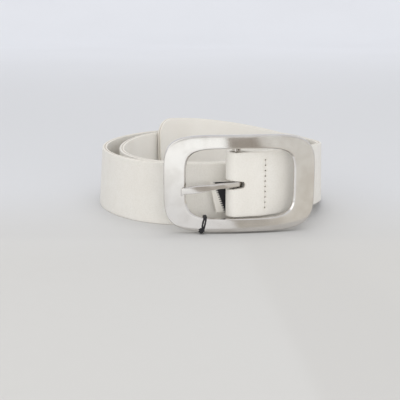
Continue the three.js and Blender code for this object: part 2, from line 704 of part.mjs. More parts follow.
// A rectangle with rounded corners, between two opposite corners.
function roundedBox(x0, y0, x1, y1, r) {
  const s = new THREE.Shape();
  s.moveTo(x0 + r, y0);
  s.lineTo(x1 - r, y0);
  s.absarc(x1 - r, y0 + r, r, -Math.PI / 2, 0, false);
  s.lineTo(x1, y1 - r);
  s.absarc(x1 - r, y1 - r, r, 0, Math.PI / 2, false);
  s.lineTo(x0 + r, y1);
  s.absarc(x0 + r, y1 - r, r, Math.PI / 2, Math.PI, false);
  s.lineTo(x0, y0 + r);
  s.absarc(x0 + r, y0 + r, r, Math.PI, (3 * Math.PI) / 2, false);
  return s;
}

// ---- assembly -----------------------------------------------------------------------------------

const LEATHER = 0xe4e0d9;
const SUEDE = 0xd8d2c8;
const NICKEL = 0xb9b5af;

const belt = new THREE.Group();
belt.name = "coiled_belt";
belt.add(
  meshOf("strap_face", strapFace(), LEATHER, 0.45, 0),
  meshOf("strap_core", strapCore(), 0xb9a88c, 0.9, 0),
  meshOf("strap_lining", strapLining(), SUEDE, 0.7, 0),
  meshOf("fold_tape", foldTape(), 0x1c1b1b, 0.9, 0),
  meshOf("fold_backing", foldBacking(), LEATHER, 0.6, 0),
  meshOf("stitch_thread", stitchThread(), 0xf1eee8, 0.8, 0),
);

const buckle = new THREE.Group();
buckle.applyMatrix4(BUCKLE);
buckle.add(
  meshOf("buckle_frame", buckleFrame(), NICKEL, 0.28, 1),
  meshOf("buckle_bar", buckleBar(), NICKEL, 0.35, 1),
  meshOf("buckle_prong", buckleProng(), NICKEL, 0.3, 1),
  meshOf("tag_cord", tagCord(), 0x111111, 0.85, 0),
);
belt.add(buckle);

// The origin is the middle of the footprint, on the surface that the belt stands on.
const part = new THREE.Group();
part.add(belt);
const bounds = new THREE.Box3().setFromObject(part);
belt.position.set(-(bounds.min.x + bounds.max.x) / 2, -(bounds.min.y + bounds.max.y) / 2, 0);

export default part;
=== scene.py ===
"""A coiled leather belt with a centre-bar buckle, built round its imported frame.

Shapes are worked out in millimetres and written to their meshes in metres. Two sets of axes are used:
the row's own, with the belt standing on z = 0, and the buckle's, with x along the frame, y inwards
from the middle of its front face and z up.
"""
import json
import math

import bpy
import numpy as np
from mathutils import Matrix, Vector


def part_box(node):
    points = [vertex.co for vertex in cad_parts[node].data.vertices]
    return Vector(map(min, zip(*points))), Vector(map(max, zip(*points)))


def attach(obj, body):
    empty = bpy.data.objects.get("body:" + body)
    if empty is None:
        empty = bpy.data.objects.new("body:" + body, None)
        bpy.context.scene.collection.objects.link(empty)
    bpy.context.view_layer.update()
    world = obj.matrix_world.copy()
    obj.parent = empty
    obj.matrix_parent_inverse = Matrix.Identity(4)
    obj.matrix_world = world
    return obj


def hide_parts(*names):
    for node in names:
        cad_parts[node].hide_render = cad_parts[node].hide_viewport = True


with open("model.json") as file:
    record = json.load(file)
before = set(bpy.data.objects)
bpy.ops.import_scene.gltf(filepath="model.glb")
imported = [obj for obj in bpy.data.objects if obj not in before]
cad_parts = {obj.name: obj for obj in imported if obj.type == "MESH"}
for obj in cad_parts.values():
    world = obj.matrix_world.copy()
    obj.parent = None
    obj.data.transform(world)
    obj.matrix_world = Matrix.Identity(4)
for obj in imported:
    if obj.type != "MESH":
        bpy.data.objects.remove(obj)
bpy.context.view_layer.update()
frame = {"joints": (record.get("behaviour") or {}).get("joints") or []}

MM = 0.001
TAU = 2 * math.pi

# Strap, from the wearer's side outwards
STRAP_WIDTH = 40.0
LINING = 1.0
CORE = 0.9
FACE = 1.3
STRAP_THICKNESS = LINING + CORE + FACE

# Coil
TURN_GAP = 0.5
TIP_ANGLE = 937.0
TURN_DROP = (330.0, 400.0)
LEFT_LOOSE = (540.0, 702.0, 10.8)
RIGHT_LOOSE = (396.0, 500.0, 4.0)
FRONT_PRESS = (318.0, 420.0, 4.5)
TIP_SPRING_FROM = 905.0
LEANS = ((190.0, 335.0, 3.0), (575.0, 700.0, 1.4), (50.0, 135.0, 2.0))
TIP_SPRING = 1.5

# Fold, flap and free end
STRAP_LIFT = 9.6
FOLD_RADIUS = 3.6
FOLD_SLACK = 0.9
FLAP_LENGTH = 24.0
FLAP_CLOSES = 13.0
FLAP_GAP = 0.1
CORE_STARTS = 6.0
CORE_FULL = 14.0
SLOT_END = 2.1
SLOT_WIDEST = 3.3
SLOT_PAST_BAR = 4.0
LIFT_FALLS = (30.0, 120.0)
STANDOFF_ENDS = 88.0
TIP_LIFT = 10.8
TIP_LIFT_FROM = 822.0
TIP_CORNER = 12.0
HOLE_DIAMETER = 4.0
HOLE_PITCH = 25.0
HOLE_COUNT = 5
FIRST_HOLE = 95.0

# Buckle
FRAME_WIDTH = 93.0
FRAME_HEIGHT = 59.8
SIDE_RAIL = 13.3
CROSS_RAIL = 8.1
SQUARENESS = 4.7
FRAME_THICKNESS = 4.0
FRAME_BEND = 175.0
FRAME_YAW = math.radians(5.2)
FRAME_RAISE = 1.0
BAR_DIAMETER = 3.5
BAR_DEPTH = 9.3
BAR_OFFSET = -1.5
LUG_WIDTH = 5.2
LUG_FACE_WIDTH = 3.6
LUG_RECESS = 4.6
LUG_ROOT_DEPTH = 2.0
LUG_ROOT_OVERLAP = 1.2
LUG_WALL = 1.7
LUG_SOFT = 0.5
LUG_END = 2.0
BAR_CLEARANCE = 0.06
BAR_SOFT = 0.25
BORE_END = 1.0
SEAT_GAP = 0.3

# Sewing and the sheets under the flap
STITCH_FROM_BAR = 16.3
STITCH_PITCH = 3.3
STITCH_COUNT = 10
TAPE_THICKNESS = 0.5
BACKING_THICKNESS = 0.8
SHEET_GAP = 0.1

FRAME_MIDDLE = FRAME_RAISE + FRAME_HEIGHT / 2
STRAP_MIDDLE = STRAP_LIFT + STRAP_WIDTH / 2
OPENING_WIDTH = FRAME_WIDTH - 2 * SIDE_RAIL
OPENING_HEIGHT = FRAME_HEIGHT - 2 * CROSS_RAIL

# Places, from the frame
strap_low, strap_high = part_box("strap_face")
COIL_RADIUS = (strap_high.x - strap_low.x) / 2 / MM
CENTRE = np.array([(strap_low.x + strap_high.x) / 2 / MM, strap_high.y / MM - COIL_RADIUS])
swing = next(j for j in frame["joints"] if j["name"] == "buckle_swing")
BAR = np.array(swing["pos_m"][:2]) / MM
BAR_REACH = float(np.hypot(*(BAR - CENTRE)))
BAR_ANGLE = math.degrees(math.atan2(BAR[0] - CENTRE[0], CENTRE[1] - BAR[1]))
FRONT_REACH = BAR_REACH + FOLD_RADIUS
ALONG = np.array([math.cos(math.radians(BAR_ANGLE)), math.sin(math.radians(BAR_ANGLE))])
OUT = np.array([math.sin(math.radians(BAR_ANGLE)), -math.cos(math.radians(BAR_ANGLE))])


# ---- meshes -------------------------------------------------------------------------------------

def volume(points, faces):
    """Six times the volume inside the faces: negative where they face inwards."""
    total = 0.0
    for f in faces:
        for k in range(1, f.shape[1] - 1):
            a, b, c = points[f[:, 0]], points[f[:, k]], points[f[:, k + 1]]
            total += float(np.einsum("ij,ij->i", a, np.cross(b, c)).sum())
    return total


def make_piece(name, points, faces, body, slot, material, replaces=(), attributes=None, sharp=None):
    """A mesh from points in millimetres and rings of indices. attributes are numbers for each point,
    and sharp is the angle in degrees from which an edge isn't smoothed."""
    points = np.asarray(points, float).reshape(-1, 3)
    quads = [np.asarray(f, np.int64) for f in faces]
    if volume(points, quads) < 0:
        quads = [f[:, ::-1] for f in quads]
    mesh = bpy.data.meshes.new(name)
    mesh.from_pydata((points * MM).tolist(), [], [tuple(r) for f in quads for r in f.tolist()])
    mesh.validate()
    for key, values in (attributes or {}).items():
        layer = mesh.attributes.new(key, "FLOAT", "POINT")
        layer.data.foreach_set("value", np.asarray(values, np.float32).ravel())
    mesh.polygons.foreach_set("use_smooth", np.ones(len(mesh.polygons), bool))
    if sharp:
        mesh.set_sharp_from_angle(angle=math.radians(sharp))
    mesh.materials.append(material)
    piece = bpy.data.objects.new(name, mesh)
    bpy.context.scene.collection.objects.link(piece)
    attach(piece, body)
    if replaces:
        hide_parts(*replaces)
    return piece


def grid_faces(rows, columns, closed_rows=False, closed_columns=False, start=0):
    """Quads over a grid of rows by columns of points, joined round in either direction if closed."""
    i = np.arange(rows if closed_rows else rows - 1)
    j = np.arange(columns if closed_columns else columns - 1)
    i, j = (a.ravel() for a in np.meshgrid(i, j, indexing="ij"))
    i2, j2 = (i + 1) % rows, (j + 1) % columns
    quads = np.stack([i * columns + j, i2 * columns + j, i2 * columns + j2, i * columns + j2], 1)
    return quads + start


def tube_faces(steps, ring):
    """Quads of a tube, with its first and last rings filled by one polygon each."""
    return [
        grid_faces(steps, ring, closed_columns=True),
        np.arange(ring)[None, ::-1],
        (np.arange(ring) + (steps - 1) * ring)[None, :],
    ]


def unit(vectors):
    return vectors / np.linalg.norm(vectors, axis=-1, keepdims=True)


def tube(path, radius, side, ring=12):
    """A tube along a path. side is a direction that the path never runs along; radius is one number,
    or one for each point of the path, or one for each point of each ring."""
    along = unit(np.gradient(path, axis=0))
    across = unit(np.cross(along, side))
    up = np.cross(across, along)
    turn = np.arange(ring) * TAU / ring
    radius = np.asarray(radius, float)
    radius = radius.reshape(radius.shape + (1,) * (2 - radius.ndim)) * np.ones((len(path), ring))
    return (
        path[:, None]
        + (radius * np.cos(turn))[..., None] * across[:, None]
        + (radius * np.sin(turn))[..., None] * up[:, None]
    ), tube_faces(len(path), ring)


def joined(*shells):
    """Several (points, faces) shells as one list of points and one of faces, each shell turned so
    that it faces outwards."""
    points, faces, count = [], [], 0
    for p, f in shells:
        p = np.asarray(p, float).reshape(-1, 3)
        if volume(p, f) < 0:
            f = [q[:, ::-1] for q in f]
        points.append(p)
        faces += [np.asarray(q) + count for q in f]
        count += len(p)
    return np.concatenate(points), faces


def to_buckle(points):
    """From the buckle's axes to the row's: turned by the frame's yaw about the bar, which lies
    BAR_DEPTH behind the front face and BAR_OFFSET to the side."""
    p = np.asarray(points, float)
    x, y = p[..., 0] - BAR_OFFSET, p[..., 1] - BAR_DEPTH
    c, s = math.cos(FRAME_YAW), math.sin(FRAME_YAW)
    return np.stack([BAR[0] + x * c - y * s, BAR[1] + x * s + y * c, p[..., 2]], -1)


def smooth(t):
    k = np.clip(t, 0, 1)
    return k * k * (3 - 2 * k)


def between(value, limits):
    return smooth((value - limits[0]) / (limits[1] - limits[0]))


def swell(value, start, end, depth):
    t = np.clip((value - start) / (end - start), 0, 1)
    return depth * np.sin(math.pi * t) ** 2


# ---- the strap's run ----------------------------------------------------------------------------

def inset(angle):
    """How far the outer face lies inside the coil's radius: a step inwards for each turn, and smooth
    swellings where a turn is loose or pressed in."""
    turns = between(angle, TURN_DROP) + between(angle - 360, TURN_DROP)
    loose = sum(
        swell(a, *where)
        for a in (angle, angle - 360)
        for where in (LEFT_LOOSE, RIGHT_LOOSE, FRONT_PRESS)
    )
    tip = TIP_SPRING * smooth((angle - TIP_SPRING_FROM) / (TIP_ANGLE - TIP_SPRING_FROM))
    return (STRAP_THICKNESS + TURN_GAP) * turns + loose + tip


def standoff(angle):
    full = BAR_REACH + FOLD_RADIUS - (COIL_RADIUS - STRAP_THICKNESS)
    return full * (1 - between(angle, (BAR_ANGLE, STANDOFF_ENDS)))


def lift(angle):
    return STRAP_LIFT * (1 - between(angle, LIFT_FALLS)) + TIP_LIFT * between(
        angle, (TIP_LIFT_FROM, TIP_ANGLE)
    )


def lean(angle):
    """How far the strap's upper edge leans towards the coil's middle: swellings on the left of the
    first and second turns and on the right of the first."""
    return sum(swell(angle, *where) for where in LEANS)


def coil_point(angle, out=0.0):
    """A circle round the coil's centre, of the strap's inner radius at each angle."""
    angle = np.asarray(angle, float)
    r = COIL_RADIUS - STRAP_THICKNESS - inset(angle) + standoff(angle) + out
    a = np.radians(angle)
    return CENTRE + np.stack([r * np.sin(a), -r * np.cos(a)], -1)


def angle_at(from_bar):
    return BAR_ANGLE + np.degrees(np.asarray(from_bar, float) / FRONT_REACH)


def at_bar(along, out):
    along, out = np.broadcast_arrays(np.asarray(along, float), np.asarray(out, float))
    return BAR + along[..., None] * ALONG + out[..., None] * OUT


def flap_point(from_bar):
    """The flap behind the bar, which leaves the front leg by a widening gap."""
    gap = FLAP_GAP + (2 * FOLD_RADIUS - FLAP_GAP) * (1 - smooth(from_bar / FLAP_CLOSES))
    return coil_point(angle_at(from_bar), -gap)


def strap_run():
    """The strap's whole run on the wearer's side: flap, half circle round the bar, front leg, coil.
    Each point has its distance along the strap, its normal towards the face side, how far it is
    lifted, and how much of the core's thickness it holds."""
    flap = np.arange(FLAP_LENGTH, 0, -0.25)
    turn = np.linspace(0, math.pi, 73)
    front = np.arange(0, FLAP_LENGTH, 0.25)
    coil = np.append(np.arange(angle_at(FLAP_LENGTH), TIP_ANGLE, 0.4), TIP_ANGLE)
    arc = at_bar(-FOLD_SLACK - FOLD_RADIUS * np.sin(turn), -FOLD_RADIUS * np.cos(turn))
    slack = np.arange(0, FOLD_SLACK, 0.2)
    legs = [
        flap_point(flap),
        at_bar(-slack, -FOLD_RADIUS),
        arc,
        at_bar(-slack[::-1], FOLD_RADIUS)[:-1],
        coil_point(angle_at(front)),
        coil_point(coil),
    ]
    xy = np.concatenate(legs)
    held = len(xy) - len(coil)
    rise = np.concatenate([np.full(held, STRAP_LIFT), lift(coil)])
    before = held - len(front)
    core = np.concatenate(
        [np.zeros(before), smooth((front - CORE_STARTS) / (CORE_FULL - CORE_STARTS)), np.ones(len(coil))]
    )
    step = np.hypot(*np.diff(xy, axis=0).T)
    s = np.concatenate([[0], np.cumsum(step)])
    d = np.gradient(xy, s, axis=0)
    d /= np.hypot(*d.T)[:, None]
    normal = np.stack([d[:, 1], -d[:, 0]], -1)
    flap_s = s[: len(flap)]
    return {
        "s": s,
        "xy": xy,
        "normal": normal,
        "rise": rise,
        "lean": np.concatenate([np.zeros(held), lean(coil)]),
        "core": core,
        "bar_back": float(s[len(flap)]),
        "bar_front": float(s[before]),
        "stitch_back": float(np.interp(-STITCH_FROM_BAR, -flap, flap_s)),
        "stitch_front": float(np.interp(STITCH_FROM_BAR, front, s[before:held])),
        "end": float(s[-1]),
    }


RUN = strap_run()


def on_run(s, key):
    """A value of the run, read off at distances s along it."""
    table = RUN[key]
    if table.ndim == 1:
        return np.interp(s, RUN["s"], table)
    return np.stack([np.interp(s, RUN["s"], table[:, k]) for k in range(table.shape[1])], -1)


# ---- the three layers of leather ----------------------------------------------------------------

STITCH_HEIGHTS = STRAP_WIDTH / 2 + (np.arange(STITCH_COUNT) - (STITCH_COUNT - 1) / 2) * STITCH_PITCH
ARRIS = 0.45
NEEDLE = 0.58


def strap_lines():
    """Where the strap's grid has its lines: close together at the fold, the slot, the needle holes,
    the punched holes and the edges, and wide apart elsewhere."""
    back, front, end = RUN["bar_back"], RUN["bar_front"], RUN["end"]
    spots = [(s - NEEDLE, s + NEEDLE, NEEDLE) for s in (RUN["stitch_back"], RUN["stitch_front"])]
    spots += [(s - 2.5, s + 2.5, 0.5) for s in hole_places()]
    along = [
        np.arange(0, back - 5, 1.5),
        np.arange(back - 5, front + 5, 0.5),
        np.arange(front + 5, front + 30, 1.5),
        np.arange(front + 30, end - 16, 3.2),
        np.linspace(end - 16, end - ARRIS, 16),
    ]
    along = np.concatenate(along)
    for a, b, step in spots:
        along = along[(along < a - 0.3) | (along > b + 0.3)]
        along = np.append(along, np.arange(a, b + step / 2, step))
    quarter = ARRIS * (1 - np.sin(np.radians([0, 22.5, 45, 67.5, 90])))
    along = np.sort(np.concatenate([along[along < end - ARRIS - 0.05], end - quarter]))
    across = np.concatenate([STITCH_HEIGHTS + k * NEEDLE for k in (-1, 0, 1)])
    across = np.append(across, (STITCH_HEIGHTS[1:] + STITCH_HEIGHTS[:-1]) / 2)
    rest = np.linspace(ARRIS, STITCH_HEIGHTS[0] - NEEDLE, 4)[1:-1]
    across = np.concatenate([across, rest, STRAP_WIDTH - rest, quarter, STRAP_WIDTH - quarter])
    return along, np.sort(across)


def hole_places():
    return [RUN["end"] - FIRST_HOLE - k * HOLE_PITCH for k in range(HOLE_COUNT)]


def punch(s, z, cells, start, end, height, radius, widen=None):
    """Opens a hole with straight sides and round ends, along the strap from start to end. Cells whose
    middle lies inside it are dropped, and every point between a dropped and a kept cell moves
    straight to the hole's edge. widen gives how many times higher than its ends the hole is at a
    place. Gives back 1 on the hole's edge and 0 elsewhere."""

    def away(a, b):
        ds = a - np.clip(a, start, end)
        dz = (b - height) / (widen(a) if widen else 1)
        return ds, dz, np.hypot(ds, dz)

    gone = away((s[:-1, :-1] + s[1:, 1:]) / 2, (z[:-1, :-1] + z[1:, 1:]) / 2)[2] < radius
    cells &= ~gone
    touched = np.zeros(s.shape, bool)
    held = np.zeros(s.shape, bool)
    for di, dj in ((0, 0), (0, 1), (1, 0), (1, 1)):
        window = (slice(di, di + gone.shape[0]), slice(dj, dj + gone.shape[1]))
        touched[window] |= gone
        held[window] |= ~gone
    rim = touched & held
    ds, dz, d = away(s, z)
    scale = radius / np.maximum(d, 1e-6)
    s[rim] += (ds * (scale - 1))[rim]
    z[rim] = (height + dz * scale * (widen(s) if widen else 1))[rim]
    return np.where(rim, 1.0, 0.0)


def slot_width(s):
    """The prong's slot is a teardrop from each end to the middle of the fold."""
    middle = (RUN["bar_back"] + RUN["bar_front"]) / 2
    half = middle - RUN["bar_back"] + SLOT_PAST_BAR - SLOT_END
    return 1 + (SLOT_WIDEST / SLOT_END - 1) * np.clip(1 - np.abs(s - middle) / half, 0, 1)


def slab_faces(cells):
    """Faces of a slab whose front and back are the same grid: the kept cells on both sides, and a
    wall wherever a kept cell meets a dropped one or the border."""
    rows, columns = cells.shape[0] + 1, cells.shape[1] + 1
    ids = np.arange(rows * columns).reshape(rows, columns)
    back = rows * columns
    i, j = np.nonzero(cells)
    front = np.stack([ids[i, j], ids[i + 1, j], ids[i + 1, j + 1], ids[i, j + 1]], 1)
    faces = [front, front[:, ::-1] + back]
    padded = np.pad(cells, 1).astype(int)
    across = padded[1:-1, 1:] - padded[1:-1, :-1]
    along = padded[1:, 1:-1] - padded[:-1, 1:-1]
    for change, (di, dj), sign in ((across, (1, 0), 1), (along, (0, 1), -1)):
        for way in (1, -1):
            i, j = np.nonzero(change == way)
            p, q = ids[i, j], ids[i + di, j + dj]
            if way * sign > 0:
                p, q = q, p
            faces.append(np.stack([p, q, q + back, p + back], 1))
    return [np.concatenate(faces)]


def slab(name, front, rear, cells, *rest, attributes=None, **named):
    """A slab from its front and rear grids of points, with the points that no face uses left out."""
    faces = slab_faces(cells)
    points = np.concatenate([front.reshape(-1, 3), rear.reshape(-1, 3)])
    used = np.zeros(len(points), bool)
    used[faces[0].ravel()] = True
    number = np.cumsum(used) - 1
    pairs = (attributes or {}).items()
    kept = {key: np.concatenate([a.ravel(), b.ravel()])[used] for key, (a, b) in pairs}
    return make_piece(name, points[used], [number[faces[0]]], *rest, attributes=kept, **named)


def round_corners(s, z):
    """Turns the last square of each corner of the free end into a quarter disc: a point (a, b) of
    the unit square goes to (a root(1 - b2 / 2), b root(1 - a2 / 2))."""
    r = TIP_CORNER
    a = np.clip((s - RUN["end"] + r) / r, 0, 1)
    low, high = z < STRAP_WIDTH / 2, z >= STRAP_WIDTH / 2
    b = np.clip(np.where(low, r - z, z - STRAP_WIDTH + r) / r, 0, 1)
    new_a, new_b = a * np.sqrt(1 - b * b / 2), b * np.sqrt(1 - a * a / 2)
    inside = (a > 0) & (b > 0)
    s = np.where(inside, RUN["end"] - r + r * new_a, s)
    z = np.where(inside & low, r - r * new_b, z)
    z = np.where(inside & high, STRAP_WIDTH - r + r * new_b, z)
    return s, z


def leather_layer(name, base, thickness, rounds, node, slot, material, recess=0.0, start=0.0):
    """One layer of the strap: a slab carried along the run between two offsets from the wearer's
    side. base and thickness are worked out from the core's share; rounds are the radii of its
    inner and outer arrises."""
    along, across = strap_lines()
    along = np.append(start, along[along > start + 0.2])
    s, z = np.meshgrid(along, across, indexing="ij")
    cells = np.ones((len(along) - 1, len(across) - 1), bool)
    edge = np.minimum(np.minimum(z, STRAP_WIDTH - z), RUN["end"] - s)
    rim = np.where(edge < ARRIS * 0.7, 1.0, 0.0)
    if start < RUN["bar_front"]:
        past = SLOT_PAST_BAR - SLOT_END
        where = (RUN["bar_back"] - past, RUN["bar_front"] + past, STRAP_WIDTH / 2, SLOT_END)
        rim = np.maximum(rim, punch(s, z, cells, *where, widen=slot_width))
    for height in STITCH_HEIGHTS:
        for place in (RUN["stitch_back"], RUN["stitch_front"]):
            if place > start + 1:
                rim = np.maximum(rim, punch(s, z, cells, place, place, height, NEEDLE * 0.9))
    for place in hole_places():
        rim = np.maximum(rim, punch(s, z, cells, place, place, STRAP_WIDTH / 2, HOLE_DIAMETER / 2))
    s, z = round_corners(s, z)
    z = STRAP_WIDTH / 2 + (z - STRAP_WIDTH / 2) * (1 - 2 * recess / STRAP_WIDTH)
    s = s - recess * smooth((s - RUN["end"] + TIP_CORNER) / TIP_CORNER)
    xy, normal, core = on_run(s, "xy"), on_run(s, "normal"), on_run(s, "core")
    rise = on_run(s, "rise")
    inwards = on_run(s, "lean") * z / STRAP_WIDTH

    def sheet(offset, radius, outwards):
        q = np.clip((radius - edge) / max(radius, 1e-6), 0, 1)
        sink = radius * (1 - np.sqrt(1 - q * q))
        place = xy + normal * (offset - inwards - outwards * sink)[..., None]
        return np.concatenate([place, (z + rise)[..., None]], -1)

    low = base(core) + 0 * s
    return slab(
        name,
        sheet(low + thickness(core), rounds[1], 1),
        sheet(low, rounds[0], -1),
        cells,
        "strap",
        slot,
        material,
        (node,),
        attributes={"rim": (rim, rim), "along": (s * MM, s * MM), "height": (z * MM, z * MM)},
        sharp=42,
    )


# ---- materials ----------------------------------------------------------------------------------

class Value:
    """A shader node's output that can stand in a formula."""

    def __init__(self, graph, socket):
        self.graph, self.socket = graph, socket

    def __add__(self, other):
        return self.graph.math("ADD", self, other)

    def __sub__(self, other):
        return self.graph.math("SUBTRACT", self, other)

    def __rsub__(self, other):
        return self.graph.math("SUBTRACT", other, self)

    def __mul__(self, other):
        return self.graph.math("MULTIPLY", self, other)

    __radd__ = __add__
    __rmul__ = __mul__


class Graph:
    """One material's node tree, with a Principled shader at its end."""

    def __init__(self, name, **uniform):
        self.material = bpy.data.materials.new(name)
        self.material.use_nodes = True
        self.tree = self.material.node_tree
        self.shader = next(n for n in self.tree.nodes if n.type == "BSDF_PRINCIPLED")
        for key, value in uniform.items():
            self.shader.inputs[key.replace("_", " ")].default_value = value

    def put(self, node, inputs):
        for key, value in inputs.items():
            socket = node.inputs[key]
            if isinstance(value, Value):
                self.tree.links.new(value.socket, socket)
            else:
                socket.default_value = value

    def node(self, kind, settings=None, inputs=None, output=0):
        made = self.tree.nodes.new("ShaderNode" + kind)
        for key, value in (settings or {}).items():
            setattr(made, key, value)
        self.put(made, inputs or {})
        return Value(self, made.outputs[output])

    def math(self, operation, *values):
        return self.node("Math", {"operation": operation}, dict(enumerate(values)))

    def place(self, *scale):
        """Object coordinates, in metres, stretched along each axis."""
        at = self.node("TexCoord", output="Object")
        return self.stretched(at, *scale) if scale else at

    def stretched(self, at, *scale):
        return self.node("VectorMath", {"operation": "MULTIPLY"}, {0: at, 1: scale})

    def attribute(self, name):
        return self.node("Attribute", {"attribute_name": name}, output="Fac")

    def flat(self, x, y):
        """A place made of two numbers."""
        return self.node("CombineXYZ", None, {0: x, 1: y})

    def noise(self, at, size, detail=2.0, rough=0.5):
        """Noise from 0 to 1 whose patches are about size metres across."""
        inputs = {"Vector": at, "Scale": 1 / size, "Detail": detail, "Roughness": rough}
        return self.node("TexNoise", None, inputs)

    def cells(self, at, size, feature="SMOOTH_F1"):
        return self.node("TexVoronoi", {"feature": feature}, {"Vector": at, "Scale": 1 / size})

    def ramp(self, value, start, end, low=0.0, high=1.0):
        """Smoothly from low at start to high at end."""
        inputs = {0: value, 1: start, 2: end, 3: low, 4: high}
        return self.node("MapRange", {"interpolation_type": "SMOOTHSTEP"}, inputs)

    def mix(self, share, a, b, blend="MIX"):
        colours = {6: a, 7: b}
        return self.node("Mix", {"data_type": "RGBA", "blend_type": blend}, {0: share, **colours}, 2)

    def bump(self, height, depth, below=None):
        """A normal from a height between 0 and 1 that stands for depth metres."""
        inputs = {"Height": height, "Distance": depth, "Strength": 1.0}
        if below:
            inputs["Normal"] = below
        return self.node("Bump", None, inputs)

    def finish(self, **varying):
        self.put(self.shader, {key.replace("_", " "): value for key, value in varying.items()})
        return self.material


def face_leather():
    g = Graph("off-white face leather", Specular_IOR_Level=0.42)
    at = g.place()
    soft = g.noise(at, 0.03, 3)
    patch = g.noise(at, 0.006, 4)
    grain = g.cells(at, 0.00075)
    fine = g.noise(at, 0.00022, 3)
    rim = g.attribute("rim")
    along = g.attribute("along")
    height = g.attribute("height")
    crease = g.noise(g.flat(along * 9.0, height), 0.006, 3, 0.6)
    base = g.mix(g.ramp(soft, 0.3, 0.7), LEATHER_LIGHT, LEATHER_WARM)
    base = g.mix(g.ramp(patch, 0.35, 0.75, 0.0, 0.35), base, LEATHER_DULL)
    base = g.mix(g.ramp(grain, 0.25, 0.75, 0.0, 0.16), base, LEATHER_PORE)
    base = g.mix(rim * 0.55, base, LEATHER_EDGE)
    rough = g.ramp(patch, 0.2, 0.8, 0.4, 0.52) + g.ramp(grain, 0.2, 0.8, 0.0, 0.08)
    surface = g.bump(grain * -0.7 + fine * 0.3, 0.00007)
    surface = g.bump(crease, 0.00012, surface)
    surface = g.bump(soft, 0.0011, surface)
    return g.finish(Base_Color=base, Roughness=rough, Normal=surface)


def lining_leather():
    g = Graph("lining leather", Specular_IOR_Level=0.3)
    at = g.place()
    soft = g.noise(at, 0.02, 3)
    nap = g.noise(at, 0.0005, 4, 0.65)
    grain = g.cells(at, 0.0009)
    base = g.mix(g.ramp(soft, 0.3, 0.7), LINING_LIGHT, LINING_WARM)
    base = g.mix(g.ramp(nap, 0.3, 0.8, 0.0, 0.3), base, LINING_DULL)
    base = g.mix(g.attribute("rim") * 0.4, base, LEATHER_EDGE)
    rough = g.ramp(nap, 0.2, 0.8, 0.6, 0.78)
    surface = g.bump(nap * 0.6 - grain * 0.4, 0.00009)
    surface = g.bump(soft, 0.0009, surface)
    return g.finish(Base_Color=base, Roughness=rough, Normal=surface)


def leatherboard():
    g = Graph("leatherboard", Specular_IOR_Level=0.2)
    at = g.place()
    fibre = g.noise(g.place(1, 1, 3), 0.0007, 5, 0.7)
    base = g.mix(g.ramp(fibre, 0.3, 0.7), (0.52, 0.47, 0.40, 1), (0.62, 0.58, 0.52, 1))
    return g.finish(
        Base_Color=base,
        Roughness=g.ramp(g.noise(at, 0.002), 0.2, 0.8, 0.8, 0.95),
        Normal=g.bump(fibre, 0.0001),
    )


def nickel():
    g = Graph("satin nickel", Metallic=1.0)
    at = g.place()
    cast = g.noise(at, 0.011, 2)
    lap = g.noise(g.place(1, 1, 2), 0.0007, 4, 0.6)
    pit = g.noise(at, 0.00035, 3)
    base = g.mix(g.ramp(cast, 0.3, 0.7), (0.70, 0.675, 0.645, 1), (0.64, 0.61, 0.575, 1))
    base = g.mix(g.ramp(pit, 0.62, 0.8, 0.0, 0.35), base, (0.48, 0.45, 0.42, 1))
    rough = g.ramp(lap, 0.25, 0.75, 0.10, 0.16) + g.ramp(pit, 0.6, 0.8, 0.0, 0.08)
    surface = g.bump(lap, 0.000006)
    surface = g.bump(cast, 0.00002, surface)
    return g.finish(Base_Color=base, Roughness=rough, Normal=surface)


def woven_tape():
    g = Graph("woven black tape", Specular_IOR_Level=0.25)
    along = g.attribute("along")
    height = g.attribute("height")
    warp = g.math("SINE", along * (TAU / 0.0011))
    weft = g.math("SINE", height * (TAU / 0.0009))
    over = warp * weft
    fuzz = g.noise(g.place(), 0.0002, 4, 0.7)
    base = g.mix(g.ramp(over, -0.6, 0.9), (0.012, 0.012, 0.013, 1), (0.05, 0.049, 0.052, 1))
    base = g.mix(g.ramp(fuzz, 0.55, 0.8, 0.0, 0.5), base, (0.10, 0.10, 0.10, 1))
    return g.finish(
        Base_Color=base,
        Roughness=g.ramp(fuzz, 0.2, 0.8, 0.75, 0.95),
        Normal=g.bump(over * 0.5 + fuzz * 0.4, 0.00016),
    )


def thread_material():
    g = Graph("sewing thread", Specular_IOR_Level=0.35)
    fibre = g.noise(g.place(1, 1, 4), 0.00015, 4, 0.7)
    patch = g.noise(g.place(), 0.002, 2)
    base = g.mix(g.ramp(fibre, 0.3, 0.7), (0.66, 0.63, 0.58, 1), (0.80, 0.775, 0.73, 1))
    return g.finish(
        Base_Color=g.mix(g.ramp(patch, 0.4, 0.8, 0.0, 0.25), base, (0.55, 0.52, 0.47, 1)),
        Roughness=g.ramp(fibre, 0.2, 0.8, 0.55, 0.75),
        Normal=g.bump(fibre, 0.00004),
    )


def cord_material():
    g = Graph("waxed black cord", Specular_IOR_Level=0.4)
    fibre = g.noise(g.place(3, 3, 1), 0.0004, 4, 0.7)
    base = g.mix(g.ramp(fibre, 0.3, 0.75), (0.009, 0.009, 0.010, 1), (0.035, 0.034, 0.036, 1))
    return g.finish(
        Base_Color=base,
        Roughness=g.ramp(fibre, 0.2, 0.8, 0.5, 0.8),
        Normal=g.bump(fibre, 0.00005),
    )


LEATHER_LIGHT = (0.82, 0.795, 0.74, 1)
LEATHER_WARM = (0.80, 0.77, 0.71, 1)
LEATHER_DULL = (0.76, 0.73, 0.665, 1)
LEATHER_PORE = (0.62, 0.58, 0.50, 1)
LEATHER_EDGE = (0.72, 0.68, 0.60, 1)
LINING_LIGHT = (0.86, 0.83, 0.77, 1)
LINING_WARM = (0.835, 0.80, 0.735, 1)
LINING_DULL = (0.76, 0.725, 0.655, 1)

# ---- buckle -------------------------------------------------------------------------------------

